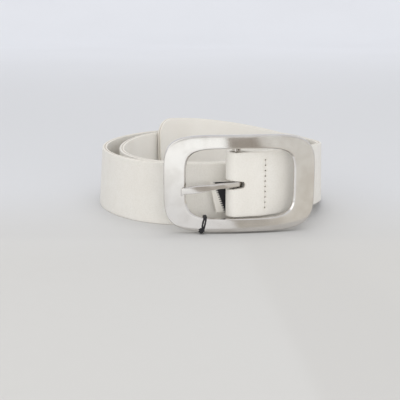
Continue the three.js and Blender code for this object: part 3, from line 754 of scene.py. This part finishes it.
OUTER_FRONT = 0.65
OUTER_BACK = 0.9
CHAMFER_SIDE = 1.15
CHAMFER_THIN = 0.4
CHAMFER_SOFT = 0.3
INNER_BACK = 0.6
DOME = 0.06


def outline(width, height, turn):
    """A superellipse at each angle of turn, and its outward direction there."""
    c, s, n = np.cos(turn), np.sin(turn), SQUARENESS
    r = (np.abs(2 * c / width) ** n + np.abs(2 * s / height) ** n) ** (-1 / n)
    out = np.stack(
        [
            np.sign(c) * np.abs(2 * r * c / width) ** (n - 1) / width,
            np.sign(s) * np.abs(2 * r * s / height) ** (n - 1) / height,
        ],
        -1,
    )
    return np.stack([r * c, r * s], -1), unit(out)


def bend(x):
    return x * x / (2 * FRAME_BEND)


def frame_ring():
    """The frame's ring: a rounded section carried between two superellipses, then bent about an
    upright line. The front is a little domed between its arrises."""
    turn = np.arange(384) * TAU / 384
    outer, out = outline(FRAME_WIDTH, FRAME_HEIGHT, turn)
    inner, inwards = outline(OPENING_WIDTH, OPENING_HEIGHT, turn)
    quarter = np.linspace(0, math.pi / 2, 7)

    def arris(edge, away, radius, angle, back):
        place = edge[:, None] + away[:, None] * (radius * (np.cos(angle) - 1))[:, None]
        depth = radius * (1 - np.sin(angle))
        return place, np.broadcast_to(FRAME_THICKNESS - depth if back else depth, place.shape[:2])

    def line(a, b, share, depth):
        place = a[:, None] * (1 - share)[:, None] + b[:, None] * share[:, None]
        return place, np.broadcast_to(depth, place.shape[:2])

    share = np.linspace(0, 1, 9)[1:-1]
    # the chamfer is wide at the sides and narrow above and below, with a small rounding at each end
    wide = CHAMFER_THIN + (CHAMFER_SIDE - CHAMFER_THIN) * smooth(np.abs(inwards[:, 0]))
    soft = np.minimum(CHAMFER_SOFT, wide * 0.3)
    zero = 0 * wide
    from_wall = [wide + soft * 0.4, wide, wide - soft * 0.4, wide / 2, soft * 0.5, soft * 0.08, zero]
    half_way = wide / 2 + soft * 0.1
    depths = [zero, soft * 0.08, soft * 0.5, half_way, wide - soft * 0.4, wide, wide + soft * 0.4]
    front_inner = inner + inwards * from_wall[0][:, None]
    front = line(outer - out * OUTER_FRONT, front_inner, share, -DOME * (1 - (2 * share - 1) ** 2))
    chamfer = (
        inner[:, None] + inwards[:, None] * np.stack(from_wall, 1)[..., None],
        np.stack(depths, 1),
    )
    back = line(
        inner + inwards * INNER_BACK,
        outer - out * OUTER_BACK,
        np.array([1 / 3, 2 / 3]),
        np.full(2, FRAME_THICKNESS),
    )
    parts = [
        arris(outer, out, OUTER_FRONT, quarter, False),
        front,
        chamfer,
        arris(inner, -inwards, INNER_BACK, quarter, True),
        back,
        arris(outer, out, OUTER_BACK, quarter[::-1], True),
    ]
    place = np.concatenate([p for p, _ in parts], 1)
    depth = np.concatenate([d for _, d in parts], 1)
    points = np.stack([place[..., 0], depth + bend(place[..., 0]), FRAME_MIDDLE + place[..., 1]], -1)
    return to_buckle(points), [grid_faces(*points.shape[:2], closed_rows=True, closed_columns=True)]


PIN_HOLE = 1.5
LUG_BACK = BAR_DEPTH + BAR_DIAMETER / 2 + LUG_WALL
OPENING_TOP = FRAME_MIDDLE + OPENING_HEIGHT / 2
OPENING_BOTTOM = FRAME_MIDDLE - OPENING_HEIGHT / 2
LUG_LOW = STRAP_LIFT + STRAP_WIDTH + SEAT_GAP
LUG_HIGH = OPENING_TOP + CROSS_RAIL - LUG_END
FOOT_HIGH = STRAP_LIFT - SEAT_GAP
FOOT_LOW = OPENING_BOTTOM - CROSS_RAIL + LUG_END


def lug(low, high, pin, recess=LUG_RECESS, within=0.0):
    """A cast lug: flat in front, round behind about the bar, with softened edges, and a through hole
    at the height pin where one is given. within is how far its sides, ends and back lie inside the
    usual ones."""
    low, high, half = low + within, high - within, LUG_WIDTH / 2 - within
    soft = LUG_SOFT
    quarter = soft * (1 - np.sin(np.linspace(0, math.pi / 2, 5)))
    flat = np.linspace(-half + soft, half - soft, 11)[1:-1]
    x = np.concatenate([-half + quarter[::-1], flat, half - quarter])
    steps = max(4, int((high - low - 2 * soft) / 0.35))
    flat = np.linspace(low + soft, high - soft, steps)[1:-1]
    z = np.concatenate([low + quarter[::-1], flat, high - quarter])
    x, z = np.meshgrid(x, z, indexing="ij")
    near = np.minimum(half - np.abs(x), np.minimum(z - low, high - z))
    q = np.clip((soft - near) / soft, 0, 1)
    sink = soft * (1 - np.sqrt(1 - q * q))
    cells = np.ones((x.shape[0] - 1, x.shape[1] - 1), bool)
    if pin:
        narrow = LUG_FACE_WIDTH / LUG_WIDTH
        punch(z, x, cells, pin, pin, 0.0, PIN_HOLE / 2, widen=lambda z: 1 / narrow)
    reach = LUG_BACK - BAR_DEPTH
    behind = BAR_DEPTH - within + np.sqrt(reach**2 - x * x)
    front = np.stack([BAR_OFFSET + x * LUG_FACE_WIDTH / LUG_WIDTH, recess + sink, z], -1)
    rear = np.stack([BAR_OFFSET + x, behind - sink, z], -1)
    points = np.concatenate([front.reshape(-1, 3), rear.reshape(-1, 3)])
    faces = slab_faces(cells)
    used = np.zeros(len(points), bool)
    used[faces[0].ravel()] = True
    number = np.cumsum(used) - 1
    return to_buckle(points[used]), [number[faces[0]]]


def turned(profile, ring=48):
    """A solid of revolution about the bar, from (radius, height) pairs that start and end on it."""
    r, z = np.array(profile, float).T
    turn = np.arange(ring) * TAU / ring
    x = BAR_OFFSET + r[:, None] * np.cos(turn)
    y = BAR_DEPTH + r[:, None] * np.sin(turn)
    points = np.stack([x, y, np.broadcast_to(z[:, None], x.shape)], -1)
    return to_buckle(points), tube_faces(len(r), ring)


PRONG_EYE_HEIGHT = 3.3
PRONG_WIDEST = 4.7
PRONG_WIDENS = (12.0, 26.0)
PRONG_TIP_HEIGHT = 3.9
PRONG_DROP = 2.7
PRONG_THICKNESS = 2.8
PRONG_TIP_THICKNESS = 2.1
PRONG_WALL = 1.5
PRONG_OVERHANG = 3.2
PRONG_TIP = OPENING_WIDTH / 2 + PRONG_OVERHANG + BAR_OFFSET
PRONG_HOOK = 2.4
PRONG_HOOK_DROP = 0.9
PRONG_DROOP_CURVE = 1.3
PRONG_SQUARENESS = 6.5
RAIL_BEVEL = 1.1
PRONG_SEAT = OPENING_WIDTH / 2 + RAIL_BEVEL + BAR_OFFSET


def prong():
    """The prong: a flat bar curled round the frame's bar, bowed out to the side rail, its tip turned
    down and rounded. A rounded section stands at right angles to the path."""
    eye = BAR_DIAMETER / 2 + BAR_CLEARANCE + PRONG_WALL / 2
    seat = bend(BAR_OFFSET - PRONG_SEAT) - SEAT_GAP

    def middle(reach):
        back = np.where(
            reach > PRONG_SEAT,
            bend(BAR_OFFSET - reach) - SEAT_GAP,
            BAR_DEPTH + (seat - BAR_DEPTH) * np.sin(math.pi / 2 * np.clip(reach / PRONG_SEAT, -1, 1)),
        )
        return back - thick(reach) / 2

    def thick(reach):
        t = np.clip(reach / PRONG_TIP, 0, 1)
        return PRONG_THICKNESS + (PRONG_TIP_THICKNESS - PRONG_THICKNESS) * t

    slope = math.atan((BAR_DEPTH - seat) * math.pi / 2 / PRONG_SEAT)
    leave = -math.pi / 2 + slope
    curl = np.linspace(math.radians(212), leave, 70)
    start = eye * np.cos(leave)
    depth = BAR_DEPTH + eye * np.sin(leave)
    reach = np.linspace(-start, PRONG_TIP, 150)[1:]
    shift = (depth - middle(-start)) * (1 - smooth((reach + start) / 16))
    path = np.concatenate(
        [
            np.stack([eye * np.cos(curl), BAR_DEPTH + eye * np.sin(curl)], -1),
            np.stack([-reach, middle(reach) + shift], -1),
        ]
    )
    path[:, 0] += BAR_OFFSET
    near = np.concatenate([np.zeros(len(curl)), smooth(reach / 9)])
    full = np.concatenate([np.full(len(curl), PRONG_WALL), thick(reach)])
    across = PRONG_WALL + (full - PRONG_WALL) * near
    step = np.concatenate([[0], np.cumsum(np.hypot(*np.diff(path, axis=0).T))])
    out = np.concatenate([np.zeros(len(curl)), np.clip(reach, 0, None)])
    rise = (PRONG_WIDEST - PRONG_EYE_HEIGHT) * between(out, PRONG_WIDENS)
    fall = between(out, (PRONG_WIDENS[1], PRONG_TIP))
    tall = PRONG_EYE_HEIGHT + rise - (PRONG_WIDEST - PRONG_TIP_HEIGHT) * fall
    hook = smooth((out - PRONG_TIP + PRONG_HOOK) / PRONG_HOOK)
    tall = tall + PRONG_HOOK_DROP * hook
    droop = PRONG_DROP * (out / PRONG_TIP) ** PRONG_DROOP_CURVE
    middle_height = STRAP_MIDDLE - droop - PRONG_HOOK_DROP * hook
    from_end = np.minimum(step[-1] - step, step * 2.2)
    cap = PRONG_TIP_THICKNESS / 2
    share = np.sqrt(np.clip(1 - np.clip(1 - from_end / cap, 0, 1) ** 2, 0.0009, 1))
    direction = unit(np.gradient(path, axis=0))
    side = np.stack([direction[:, 1], -direction[:, 0]], -1)
    turn = np.arange(32) * TAU / 32
    c, s = np.cos(turn), np.sin(turn)
    power = 2 / PRONG_SQUARENESS
    u = np.sign(c) * np.abs(c) ** power
    v = np.sign(s) * np.abs(s) ** power
    half_across = (across / 2 * share)[:, None] * u
    half_tall = (tall / 2 - cap * 0.8 * (1 - share))[:, None] * v
    xy = path[:, None] + side[:, None] * half_across[..., None]
    points = np.concatenate([xy, (middle_height[:, None] + half_tall)[..., None]], -1)
    return to_buckle(points), tube_faces(*points.shape[:2])


# ---- tag cord -----------------------------------------------------------------------------------

CORD_DIAMETER = 1.1
CORD_SPACING = 1.7
CORD_GAP = 0.05
CORD_PLACE = -22.8
CORD_LEAN = 2.4


def tag_cord():
    """Two turns of cord round the lower rail, leaning a little, with a small overhand knot in front
    near the rail's lower edge and two short trimmed ends. The turns follow a rounded oblong round
    the rail's section, and lie apart in front and together at the top; the cord is two-ply."""
    reach = CORD_GAP + CORD_DIAMETER / 2

    def half_height(x, width, height):
        return height / 2 * (1 - abs(2 * x / width) ** SQUARENESS) ** (1 / SQUARENESS)

    low = FRAME_MIDDLE - half_height(CORD_PLACE, FRAME_WIDTH, FRAME_HEIGHT) - reach
    high = FRAME_MIDDLE - half_height(CORD_PLACE, OPENING_WIDTH, OPENING_HEIGHT) + reach
    front = bend(CORD_PLACE) - DOME - reach
    back = bend(CORD_PLACE) + FRAME_THICKNESS + reach
    turns = np.linspace(0, 2, 281)
    angle = math.radians(215) + turns * TAU
    c, s = np.cos(angle), np.sin(angle)
    r = (np.abs(c) ** 5 + np.abs(s) ** 5) ** (-1 / 5)
    y = (front + back) / 2 + (back - front) / 2 * r * c
    share = (1 + r * s) / 2
    z = low + (high - low) * share
    side = np.tanh((turns - 1) * 9)
    apart = CORD_SPACING / 2 * (0.45 + 0.55 * np.sin(math.pi * np.clip(share, 0, 1)))
    x = CORD_PLACE + CORD_LEAN * (share - 0.5) + side * apart
    ply = 1 + 0.09 * np.cos(2 * (np.arange(12) * TAU / 12 - turns[:, None] * 46))
    ply = ply * (1 + 0.3 * np.exp(-(((share - 1) / 0.1) ** 2)))[:, None]
    loops = tube(np.stack([x, y, z], -1), CORD_DIAMETER / 2 * ply, np.array([1.0, 0.02, 0.0]))
    t = np.linspace(0, TAU, 140)
    knot = np.stack(
        [
            (np.sin(t) + 2 * np.sin(2 * t)) * 0.42,
            -np.sin(3 * t) * 0.34,
            (np.cos(t) - 2 * np.cos(2 * t)) * 0.33,
        ],
        -1,
    )
    knot_place = np.array([CORD_PLACE - CORD_LEAN * 0.42, front - 0.25, low + 1.55])
    shells = [loops, tube(knot + knot_place, CORD_DIAMETER * 0.46, np.array([0.05, 1.0, 0.05]))]
    for way, length in ((-1, 1.7), (1, 1.1)):
        k = np.linspace(0, 1, 14)[:, None]
        bow = np.array([way * length, -0.3, -0.35]) * k + np.array([way * 0.4, -0.3, 0.2])
        radius = CORD_DIAMETER / 2 * (1 - 0.3 * k[:, 0] ** 6)
        shells.append(tube(knot_place + bow, radius, np.array([0.0, 1.0, 0.1])))
    return joined(*[(to_buckle(p), f) for p, f in shells])


# ---- sewing and the sheets under the flap -------------------------------------------------------

SHEET_BOTTOM = STRAP_LIFT + 0.4
SHEET_TOP = STRAP_LIFT + 20.0
SHEET_LINES = 145
TAPE_EDGE = (6.9, 14.0)
BACKING_EDGE = (11.4, 15.6)
TOOTH_PITCH = 1.4
TOOTH_DEPTH = 1.5
TAPE_FROM = LINING + FACE + SHEET_GAP
BACKING_FROM = TAPE_FROM + TAPE_THICKNESS + SHEET_GAP


def flap_sheet(name, node, slot, material, offset, thickness, edge, tooth=0.0, depth=0.0, soft=0.15):
    """A sheet sewn under the flap: along the flap's face side, then straight on past the bar to a
    slanting free edge, which lies edge[0] past it at the bottom and edge[1] at the top, and has
    teeth where a tooth's pitch is given."""
    spot = RUN["bar_back"] - RUN["stitch_back"]
    held = np.arange(FLAP_LENGTH - 0.3, 0, -1.0)
    held = held[np.abs(held - spot) > 0.9]
    held = np.sort(np.concatenate([held, spot + NEEDLE * np.array([-1, 0, 1])]))[::-1]
    free = np.linspace(0, 1, 22)
    rows = np.concatenate([-held, free])
    height = SHEET_TOP - SHEET_BOTTOM
    z_lines = np.linspace(0, height, SHEET_LINES)
    needle = STITCH_HEIGHTS + STRAP_LIFT - SHEET_BOTTOM
    needle = needle[(needle > 1) & (needle < height - 1)]
    w, z = np.meshgrid(rows, z_lines, indexing="ij")
    cells = np.ones((len(rows) - 1, len(z_lines) - 1), bool)
    for h in needle:
        punch(w, z, cells, -spot, -spot, h, NEEDLE * 0.9)
    share = z / height
    reach = edge[0] + (edge[1] - edge[0]) * share
    if tooth:
        phase = np.abs((z / (height / round(height / tooth))) % 1 - 0.5) * 2
        reach = reach - depth * smooth(1.6 * (1 - phase))
    beyond = np.clip(w, 0, 1) * reach
    flap_at = np.clip(-w, 0, None)
    on_flap = flap_point(flap_at)
    ahead = flap_point(flap_at + 0.05)
    along = unit(np.where((flap_at > 0)[..., None], on_flap - ahead, -ALONG))
    normal = np.stack([along[..., 1], -along[..., 0]], -1)
    xy = np.where((w > 0)[..., None], at_bar(-beyond, -FOLD_RADIUS), on_flap)
    curl = 0.35 * np.clip(w, 0, 1) ** 3 * np.sin(share * 2.6 + 0.4)
    slip = np.minimum(np.minimum(z, height - z), (1 - np.clip(w, 0, 1)) * reach)
    q = np.clip((soft - slip) / soft, 0, 1)
    sink = thickness * 0.35 * (1 - np.sqrt(1 - q * q))

    def sheet(d, way):
        place = xy + normal * (d + curl - way * sink)[..., None]
        return np.concatenate([place, (z + SHEET_BOTTOM)[..., None]], -1)

    s = np.where(w > 0, beyond, w) * MM
    return slab(
        name,
        sheet(offset + thickness, 1),
        sheet(offset, -1),
        cells,
        "strap",
        slot,
        material,
        (node,),
        attributes={"rim": (q, q), "along": (s, s), "height": (z * MM, z * MM)},
        sharp=42,
    )


THREAD = 0.46
THREAD_SWAY = 0.16
THREAD_DIP = 1.6


def stitching():
    """The lock stitch: a thread on each side that dips into every needle hole, its two plies showing
    as a twist."""
    low, high = STITCH_HEIGHTS[0], STITCH_HEIGHTS[-1]
    angle = angle_at(STITCH_FROM_BAR)
    normal = unit(coil_point(angle, 1.0) - coil_point(angle))
    shells = []
    z = np.linspace(low, high, 30 * (STITCH_COUNT - 1) + 1)
    near = np.abs(z[:, None] - STITCH_HEIGHTS).min(1)
    dip = np.exp(-((near / 0.5) ** 2))
    rear_top = SHEET_TOP - STRAP_LIFT
    behind = np.where(z < rear_top, BACKING_FROM + BACKING_THICKNESS, LINING + FACE)
    for level, way in ((STRAP_THICKNESS, 1), (-FLAP_GAP - behind, -1)):
        out = level + way * (THREAD * 0.2 - dip * THREAD_DIP)
        xy = coil_point(angle) + normal * np.asarray(out)[..., None]
        sway = THREAD_SWAY * np.sin(math.pi * (z - low) / STITCH_PITCH) * way
        path = np.concatenate([xy + ALONG * sway[:, None], (z + STRAP_LIFT)[:, None]], -1)
        ring = np.arange(12) * TAU / 12
        ply = 1 + 0.12 * np.cos(2 * (ring - z[:, None] * 3.1))
        shells.append(tube(path, THREAD / 2 * ply, np.array([1.0, 0.1, 0.0])))
    return joined(*shells)


# ---- the whole object ---------------------------------------------------------------------------

face_finish = face_leather()
lining_finish = lining_leather()
nickel_finish = nickel()


def raised(core):
    return LINING + CORE * core


leather_layer(
    "face_layer", raised, lambda core: FACE, (0.0, ARRIS), "strap_face", "face_leather", face_finish
)
leather_layer(
    "lining_layer",
    lambda core: 0.0,
    lambda core: LINING,
    (0.35, 0.0),
    "strap_lining",
    "lining_leather",
    lining_finish,
)
leather_layer(
    "core_layer",
    lambda core: LINING,
    lambda core: CORE * core,
    (0.0, 0.0),
    "strap_core",
    "leatherboard",
    leatherboard(),
    recess=0.08,
    start=RUN["bar_front"] + CORE_STARTS + 1.5,
)
flap_sheet(
    "pinked_tape",
    "fold_tape",
    "woven_tape",
    woven_tape(),
    TAPE_FROM,
    TAPE_THICKNESS,
    TAPE_EDGE,
    TOOTH_PITCH,
    TOOTH_DEPTH,
)
flap_sheet(
    "backing_strip",
    "fold_backing",
    "face_leather",
    lining_finish,
    BACKING_FROM,
    BACKING_THICKNESS,
    BACKING_EDGE,
)
points, faces = stitching()
thread_finish = thread_material()
make_piece(
    "lock_stitches", points, faces, "strap", "thread", thread_finish, ("stitch_thread",), sharp=60
)

PIN_UP = 1.15
LUG_WITHIN = 0.25
points, faces = joined(
    frame_ring(),
    lug(LUG_LOW, LUG_HIGH, LUG_LOW + PIN_UP),
    lug(FOOT_LOW, FOOT_HIGH, None),
    lug(OPENING_TOP + LUG_ROOT_OVERLAP, LUG_HIGH, None, LUG_ROOT_DEPTH, LUG_WITHIN),
    lug(FOOT_LOW, OPENING_BOTTOM - LUG_ROOT_OVERLAP, None, LUG_ROOT_DEPTH, LUG_WITHIN),
)
make_piece(
    "frame_and_lugs", points, faces, "buckle", "satin_nickel", nickel_finish, ("buckle_frame",), sharp=50
)
bar_low = FOOT_LOW + BORE_END + SEAT_GAP
bar_high = LUG_HIGH - BORE_END - SEAT_GAP
r = BAR_DIAMETER / 2
points, faces = turned(
    [
        (r - BAR_SOFT, bar_low),
        (r, bar_low + BAR_SOFT),
        (r, bar_high - BAR_SOFT),
        (r - BAR_SOFT, bar_high),
    ]
)
make_piece(
    "centre_bar", points, faces, "buckle", "satin_nickel", nickel_finish, ("buckle_bar",), sharp=30
)
points, faces = prong()
make_piece(
    "curled_prong", points, faces, "prong", "satin_nickel", nickel_finish, ("buckle_prong",), sharp=60
)
points, faces = tag_cord()
cord_finish = cord_material()
make_piece(
    "knotted_cord", points, faces, "buckle", "black_cord", cord_finish, ("tag_cord",), sharp=70
)

# ---- floor, light and camera --------------------------------------------------------------------

def floor_material():
    g = Graph("pale floor", Specular_IOR_Level=0.15)
    at = g.place()
    y = Value(g, g.node("SeparateXYZ", None, {0: at}).socket.node.outputs[1])
    # painted light and shade: the floor is darker in front of the belt and lighter and bluer far behind it
    base = g.mix(g.ramp(y, -0.16, 0.06), (0.59, 0.575, 0.545, 1), (0.66, 0.66, 0.665, 1))
    base = g.mix(g.ramp(y, 0.25, 2.2), base, (0.90, 0.905, 0.925, 1))
    base = g.mix(g.ramp(g.noise(at, 0.5, 2), 0.3, 0.7, 0.0, 0.1), base, (0.70, 0.70, 0.70, 1))
    return g.finish(Base_Color=base, Roughness=g.ramp(g.noise(at, 0.01), 0.2, 0.8, 0.7, 0.8))


def floor():
    """A level floor that curves up into a wall far behind."""
    curve = np.linspace(0, math.pi / 2, 24)[1:]
    y = np.concatenate([np.linspace(-2.5, 2.2, 30), 2.2 + np.sin(curve), np.full(6, 3.2)])
    z = np.concatenate([np.zeros(30), 1.0 - np.cos(curve), np.linspace(1.3, 3.0, 6)])
    x = np.linspace(-3.0, 3.0, 24)
    grid = np.broadcast_arrays(x, y[:, None], z[:, None])
    points = np.stack(grid, -1)
    mesh = bpy.data.meshes.new("floor")
    mesh.from_pydata(points.reshape(-1, 3).tolist(), [], grid_faces(len(y), 24).tolist())
    mesh.polygons.foreach_set("use_smooth", np.ones(len(mesh.polygons), bool))
    mesh.flip_normals()
    mesh.materials.append(floor_material())
    made = bpy.data.objects.new("floor", mesh)
    bpy.context.scene.collection.objects.link(made)
    return made


floor()


def area_light(name, place, target, width, height, power, colour, glossy=True):
    light = bpy.data.lights.new(name, "AREA")
    light.shape = "RECTANGLE"
    light.size, light.size_y = width, height
    light.energy = power
    light.color = colour
    made = bpy.data.objects.new(name, light)
    bpy.context.scene.collection.objects.link(made)
    made.location = place
    way = Vector(target) - Vector(place)
    made.rotation_euler = way.to_track_quat("-Z", "Y").to_euler()
    made.visible_glossy = glossy
    return made


area_light("overhead", (0.1, 0.1, 1.6), (0.0, 0.0, 0.0), 1.2, 1.2, 5.0, (1.0, 0.995, 0.985), False)
area_light("left softbox", (-0.85, -0.95, 0.55), (0.0, -0.05, 0.03), 0.9, 0.9, 1.9, (1.0, 0.99, 0.975))
area_light("front fill", (0.35, -1.35, 0.22), (0.0, 0.0, 0.03), 1.0, 0.35, 4.2, (1.0, 0.995, 0.985), False)

world = bpy.data.worlds.new("room")
bpy.context.scene.world = world
world.use_nodes = True
sky = next(n for n in world.node_tree.nodes if n.type == "BACKGROUND")
sky.inputs["Color"].default_value = (0.95, 0.965, 1.0, 1)
sky.inputs["Strength"].default_value = 0.9
bpy.context.scene.view_settings.view_transform = "Standard"


def painted_reflection_material():
    """Painted reflection: the tones of a glowing sheet in front of the buckle, which the metal mirrors as
    its bands: a bright area on the left, a dark band in the middle that widens away from the buckle,
    and a grey area on the right."""
    g = Graph("painted_reflection_sheet", Base_Color=(0, 0, 0, 1), Specular_IOR_Level=0.0, Emission_Strength=1.0)
    axes = g.node("SeparateXYZ", None, {0: g.place()})
    x = axes
    y = Value(g, axes.socket.node.outputs[1])
    ahead = -0.103 - y
    first = x - 0.018 - ahead * 0.09
    second = x - 0.050 - ahead * 0.34
    far = g.ramp(ahead, 0.0, 0.25)
    left = g.mix(far, (0.93, 0.94, 0.96, 1), (1.31, 1.34, 1.35, 1))
    # painted reflection: the dark band that the metal mirrors between the bright and grey areas
    painted_dark_band = g.mix(far, (0.56, 0.535, 0.495, 1), (0.415, 0.38, 0.34, 1))
    right = g.mix(far, (0.80, 0.775, 0.725, 1), (0.85, 0.845, 0.82, 1))
    beyond = g.mix(g.ramp(second, -0.012, 0.02), painted_dark_band, right)
    tone = g.mix(g.ramp(first, -0.004, 0.004), left, beyond)
    return g.finish(Emission_Color=tone)


def painted_reflection_sheet():
    """A level, glowing sheet just above the table that paints reflections: the camera, diffuse light
    and shadows don't see it, only reflected rays do, on the metal and slightly on the leather's sheen.
    """
    x, y = np.meshgrid(np.array([-0.6, 0.6]), np.array([-0.75, -0.0935]), indexing="ij")
    points = np.stack([x, y, np.full((2, 2), 0.0006)], -1).reshape(-1, 3)
    mesh = bpy.data.meshes.new("painted_reflection_sheet")
    mesh.from_pydata(points.tolist(), [], [(0, 2, 3, 1)])
    mesh.materials.append(painted_reflection_material())
    made = bpy.data.objects.new("painted_reflection_sheet", mesh)
    bpy.context.scene.collection.objects.link(made)
    made.visible_camera = False
    made.visible_diffuse = False
    made.visible_shadow = False
    made.visible_transmission = False


painted_reflection_sheet()

lens = bpy.data.cameras.new("camera")
lens.lens = 76.5
lens.sensor_width = 36.0
lens.clip_start = 0.01
camera = bpy.data.objects.new("camera", lens)
bpy.context.scene.collection.objects.link(camera)
camera.location = (-0.00718, -0.58619, 0.1386)
camera.rotation_euler = (math.radians(90 - 13.155), 0.0, 0.0)
bpy.context.scene.camera = camera
